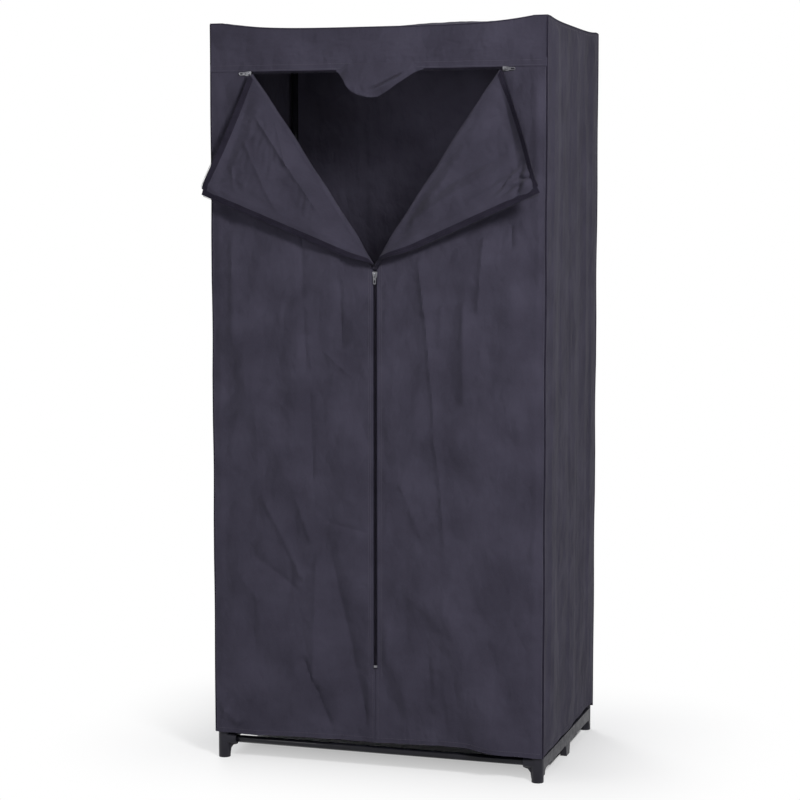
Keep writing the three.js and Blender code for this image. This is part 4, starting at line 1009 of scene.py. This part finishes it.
# Where its folds fade in, from the fold, from the upper zip and from the centre zip
FLAP_FADES = ((0, 0.034), (0.02, 0.05), (0.024, 0.058))
# Small crumples round the flap's free corner
KNOT_RISE = {"left": 0.004, "right": 0.011}
KNOT_PLACE, KNOT_REACH, KNOT_LENGTH = 0.03, 0.045, 0.032
KNOT_ENDS = (0.006, 0.025)
FLAP_FOLDS = {
    "left": [((0.12, 0.86), (0.50, 0.52), 1, 0.8), ((0.40, 0.95), (0.72, 0.30), 0.9, 0.6),
             ((0.62, 0.90), (0.92, 0.60), 0.8, 0.7)],
    "right": [((0.69, 0.91), (0.80, 0.31), 0.6, 0.7), ((0.50, 0.72), (0.72, 0.30), 0.8, 0.6),
              ((0.30, 0.80), (0.60, 0.88), 0.8, 0.5)],
}
FLAP_CREASES = {
    "left": [((0.08, 0.90), (0.60, 0.60), 0.14, 0.4), ((0.30, 0.90), (0.80, 0.35), 0.12, 0.35),
             ((0.50, 0.90), (0.93, 0.55), 0.12, 0.35), ((0.70, 0.90), (0.95, 0.80), 0.12, 0.35)],
    "right": [((0.69, 0.91), (0.80, 0.31), 0.2, 0.3), ((0.60, 0.90), (0.70, 0.45), 0.16, -0.25),
              ((0.78, 0.93), (0.86, 0.60), 0.14, 0.4), ((0.74, 0.95), (0.93, 0.74), 0.10, 0.5),
              ((0.82, 0.97), (0.97, 0.88), 0.09, 0.5), ((0.86, 0.90), (0.90, 0.78), 0.10, 0.5)],
}


def flap_relief(side_name, distance, z, fold_edge):
    u, v = OPENING_HALF - distance, z - FOLD_BOTTOM
    from_top = OPENING_TOP - z
    fade = 1
    for place, ends in zip(((z - fold_edge) * (FOLD_HALF / FOLD_LENGTH), from_top, distance), FLAP_FADES):
        fade = fade * smooth(place, *ends)
    relief = folds_and_creases(u, v, FLAP_SIZE, FLAP_FOLDS[side_name], FLAP_CREASES[side_name], FLAP_GAINS)
    relief = fade * (relief + cloth_wear(u, v, SEEDS["flap_" + side_name], strength=1.1, upright=0.8))
    knot = np.exp(-(((distance - KNOT_PLACE) ** 2 + (from_top - KNOT_PLACE) ** 2) / KNOT_REACH**2))
    knot = knot * KNOT_RISE[side_name] * np.abs(ripples(u, v * 0.5, KNOT_LENGTH, SEEDS["knot"]))
    near_zips = smooth(from_top, *KNOT_ENDS) * smooth(distance, *KNOT_ENDS)
    return relief + near_zips * knot + flap_lift(side_name, distance, z)


def flap(side_name):
    side = SIDES[side_name]
    shares = np.linspace(0, 1, 84)
    if side > 0:
        shares = shares[::-1]
    across, up = np.meshgrid(shares, np.linspace(0, 1, 100))
    distance = lerp(FOLD_END, CHAIN_TO_CLOTH, across)
    fold_edge = FOLD_BOTTOM + distance * FOLD_SLOPE
    rounding = 0.012
    past = np.maximum(0, rounding + CHAIN_TO_CLOTH - distance)
    top = OPENING_TOP - CHAIN_TO_CLOTH - (rounding - np.sqrt(rounding**2 - past**2))
    z = lerp(fold_edge, np.maximum(top, fold_edge + 0.0005), up)
    x, y = side * distance, FRONT + flap_relief(side_name, distance, z, fold_edge)
    flat = np.stack([x, z], -1)
    obj = cloth_piece(f"cloth_flap_{side_name}", folded_back(side_name, np.stack([x, y, z], -1)), flat)
    bend_with_flap(obj, side_name)
    finished(obj, "cloth", [f"flap_{side_name}"], ride=False)
    declare(obj, flat)


# How far the roll swells out, as shares of its radius, and where the swell fades in from its ends.
# ROLL_LONGER is its cloth's width against a plain half-round's.
ROLL_LONGER = 1.2
ROLL_SWELL, ROLL_UNEVEN, ROLL_WAVE = 0.5, 0.16, 0.12
ROLL_FOOT, ROLL_HEAD = (0.01, 0.09), (0.01, 0.07)


def fold_roll(side_name):
    """The soft bend that joins a front panel to its folded flap."""
    side = SIDES[side_name]
    top = FOLD_LENGTH * (1 - CHAIN_TO_CLOTH / FOLD_RISE)
    along, turn_share = np.meshgrid(np.linspace(0, top, 150), np.linspace(0, 1, 17))
    turn = turn_share * fold_angle(side_name, along)
    inwards = np.array([-side * FOLD_RISE, 0, FOLD_HALF]) / FOLD_LENGTH
    swell = ROLL_SWELL + ROLL_UNEVEN * ripples(along, along * 0, ROLL_WAVE, SEEDS["fold"])
    ends = smooth(along, *ROLL_FOOT) * smooth(top - along, *ROLL_HEAD)
    bulge = ROLL_RADIUS * (np.sin(turn) + swell * ends * np.sin(turn_share * math.pi))
    centre = HINGE + along[..., None] * fold_direction(side)
    points = (centre + (ROLL_RADIUS * np.cos(turn))[..., None] * np.array([0, 1, 0])
              + bulge[..., None] * inwards)
    flat = np.stack([along, turn_share * math.pi * ROLL_RADIUS * ROLL_LONGER], -1)
    if side < 0:
        points, flat = points[:, ::-1], flat[:, ::-1]
    obj = cloth_piece(f"cloth_fold_{side_name}", points + MIDDLE, flat)
    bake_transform(obj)
    finished(obj, "cloth", ride=False)
    declare(obj, flat)


# Zips

TOOTH_PITCH = 0.0026
TOOTH_SIZE = (0.00105, 0.0023, 0.0036)
TOOTH_SIDES = 8
TOOTH_FROM_LINE = 0.0008
# Teeth of the upper zips start clear of their sliders
UPPER_TEETH_START = 0.0143
FLAP_TAPE_START = 0.0125
SLIDER_BELOW_FOLD = 0.011
SLIDER_HALF = 0.005
STOP_HEIGHT = 0.0053
# The rows of stitches along a tape: distances from its line, and the part of each end without any
TAPE_ROWS = (0.0062, 0.0108)
TAPE_ROW_END = 0.004


def zip_half(name, origin, along, away, start, end, nodes, teeth_start=None, phase=0.0, slant=0.0,
             flap_side=None):
    """The tape, teeth and stitching of half a zip from start to end along its line. along and away
    are unit steps in x and z. The stitches are on the cloth's back, which shows on an open flap."""
    run, wide = np.meshgrid(np.linspace(start, end, 120), np.linspace(TAPE_START, TAPE_WIDTH, 7))
    if slant:
        run = lerp(start + slant * wide, end, (run - start) / (end - start))

    def spot(t, inset):
        return (t * along[0] + inset * away[0] + origin[0], t * along[1] + inset * away[1] + origin[1])

    def carried(points):
        if flap_side is None:
            return points + MIDDLE
        points = points.copy()
        points[..., 1] += flap_lift(flap_side, np.abs(points[..., 0]), points[..., 2])
        return folded_back(flap_side, points)

    def settled(obj, slot, stands_for=()):
        if flap_side is None:
            finished(obj, slot, stands_for)
        else:
            bend_with_flap(obj, flap_side)
            finished(obj, slot, stands_for, ride=False)

    x, z = spot(run, wide)
    points = np.stack([x, np.full_like(x, TAPE_PLANE), z], -1)
    flat = np.stack([run, wide], -1)
    settled(cloth_piece(f"tape_{name}", carried(points), flat, TAPE_THICKNESS), "zip_tape", nodes)

    first_tooth = start if teeth_start is None else teeth_start
    count = max(2, int((end - first_tooth) / TOOTH_PITCH))
    x, z = spot(first_tooth + phase * TOOTH_PITCH, TOOTH_FROM_LINE)
    step = (TOOTH_PITCH * along[0], 0, TOOTH_PITCH * along[1])
    turn = TURN_ALONG["x" if away[0] else "z"]
    teeth = row_of_bars(count, (x, CHAIN_PLANE, z), step, TOOTH_SIZE, turn, TOOTH_SIDES, finishes["coil"])
    settled(rows_piece(f"coil_{name}", [teeth], carried), "coil")

    skin = TAPE_PLANE + (TAPE_THICKNESS / 2 + STITCH_CLEAR)
    rows = []
    for inset in TAPE_ROWS:
        ends = (spot(t, inset) for t in (start + slant * inset + TAPE_ROW_END, end - TAPE_ROW_END))
        rows.append(stitches(*((x, skin, z) for x, z in ends)))
    settled(rows_piece(f"stitching_{name}", rows, carried), "coil")


def zips():
    slider_rest = FOLD_BOTTOM - SLIDER_BELOW_FOLD
    half_step = 0.5
    for side_name, side in SIDES.items():
        phase = 0 if side < 0 else half_step
        corner = (side * OPENING_HALF, OPENING_TOP)
        zip_half(f"centre_{side_name}", (0, 0), (0, 1), (side, 0), ZIP_BOTTOM + STOP_HEIGHT,
                 slider_rest + SLIDER_HALF, [f"centre_zip_{side_name}"], phase=phase)
        zip_half(f"header_{side_name}", corner, (-side, 0), (0, 1), 0.0, OPENING_HALF - PIECE_GAP,
                 [f"header_zip_{side_name}"], teeth_start=UPPER_TEETH_START)
        zip_half(f"flap_centre_{side_name}", (0, FOLD_BOTTOM), (0, 1), (side, 0), TAPE_ROW_END,
                 FOLD_RISE - CHAIN_TO_CLOTH, [f"flap_centre_zip_{side_name}"], phase=phase,
                 slant=FOLD_SLOPE, flap_side=side_name)
        zip_half(f"flap_top_{side_name}", corner, (-side, 0), (0, -1), FLAP_TAPE_START,
                 OPENING_HALF - TAPE_WIDTH - PIECE_GAP, [f"flap_top_zip_{side_name}"],
                 teeth_start=UPPER_TEETH_START, phase=half_step, slant=1 / FOLD_SLOPE, flap_side=side_name)


# Rigid pieces

def mended(mesh, mend):
    """Runs mend on the mesh in edit form."""
    shape = bmesh.new()
    shape.from_mesh(mesh)
    mend(shape)
    shape.to_mesh(mesh)
    shape.free()


def tube_piece(node):
    """A hollow tube with rolled lips in the place of its solid."""
    lo, hi = (np.array(c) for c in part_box(node))
    axis = int(np.argmax(hi - lo))
    low, high = lo[axis], hi[axis]
    centre = (lo + hi) / 2
    lip = 0.0003
    profile = [(TUBE_RADIUS - TUBE_WALL, low), (TUBE_RADIUS - lip, low), (TUBE_RADIUS, low + lip),
               (TUBE_RADIUS, high - lip), (TUBE_RADIUS - lip, high), (TUBE_RADIUS - TUBE_WALL, high)]
    sides = 40
    turn = np.arange(sides) * 2 * math.pi / sides
    other = [i for i in range(3) if i != axis]
    points = np.empty((len(profile), sides, 3))
    for row, (radius, height) in enumerate(profile):
        points[row, :, axis] = height
        points[row, :, other[0]] = centre[other[0]] + radius * np.cos(turn)
        points[row, :, other[1]] = centre[other[1]] + radius * np.sin(turn)
    faces = []
    for row in range(len(profile)):
        following = (row + 1) % len(profile)
        for k in range(sides):
            j = (k + 1) % sides
            faces.append((row * sides + k, row * sides + j, following * sides + j, following * sides + k))
    mesh = bpy.data.meshes.new(node)
    mesh.from_pydata(points.reshape(-1, 3).tolist(), [], faces)
    mended(mesh, lambda shape: bmesh.ops.recalc_face_normals(shape, faces=shape.faces))
    finished(linked(f"steel_{node}", shaded(mesh)), "tube", [node])


def merged(shape):
    """Joins double points and takes away the lines inside flat faces."""
    bmesh.ops.remove_doubles(shape, verts=shape.verts, dist=1e-5)
    bmesh.ops.dissolve_limit(shape, angle_limit=math.radians(1.5), verts=shape.verts, edges=shape.edges)


def eased_copy(node, slot, body="frame", width=0.0006):
    """A copy of a rigid solid with its edges eased and its curves smooth."""
    mesh = frame["nodes"][node].data.copy()
    mended(mesh, merged)
    obj = linked(f"eased_{node}", mesh)
    ease = obj.modifiers.new("eased_edges", "BEVEL")
    ease.width = width
    ease.segments = 2
    ease.limit_method = "ANGLE"
    ease.angle_limit = math.radians(40)
    finished(with_modifiers_applied(obj, 35), slot, [node], body)


def rigid_pieces():
    for node in frame["nodes"]:
        if node.startswith(("post_lower", "post_upper", "base_tube", "top_tube", "hanging_rail")):
            tube_piece(node)
        elif node.startswith(("base_end", "top_end", "post_joiner")):
            eased_copy(node, "moulding")
        elif node == "zip_bottom_stop":
            eased_copy(node, "zip_metal", width=0.0003)
        elif node.endswith(("slider", "pull")):
            eased_copy(node, "zip_metal", f"{node}_body", 0.0003)


for name in SIDES:
    front_panel(name)
    wall_side(name)
    flap(name)
    fold_roll(name)
seam_lap()
header()
tongue()
roof()
back()
corner_welts()
roof_welt()
zips()
rigid_pieces()
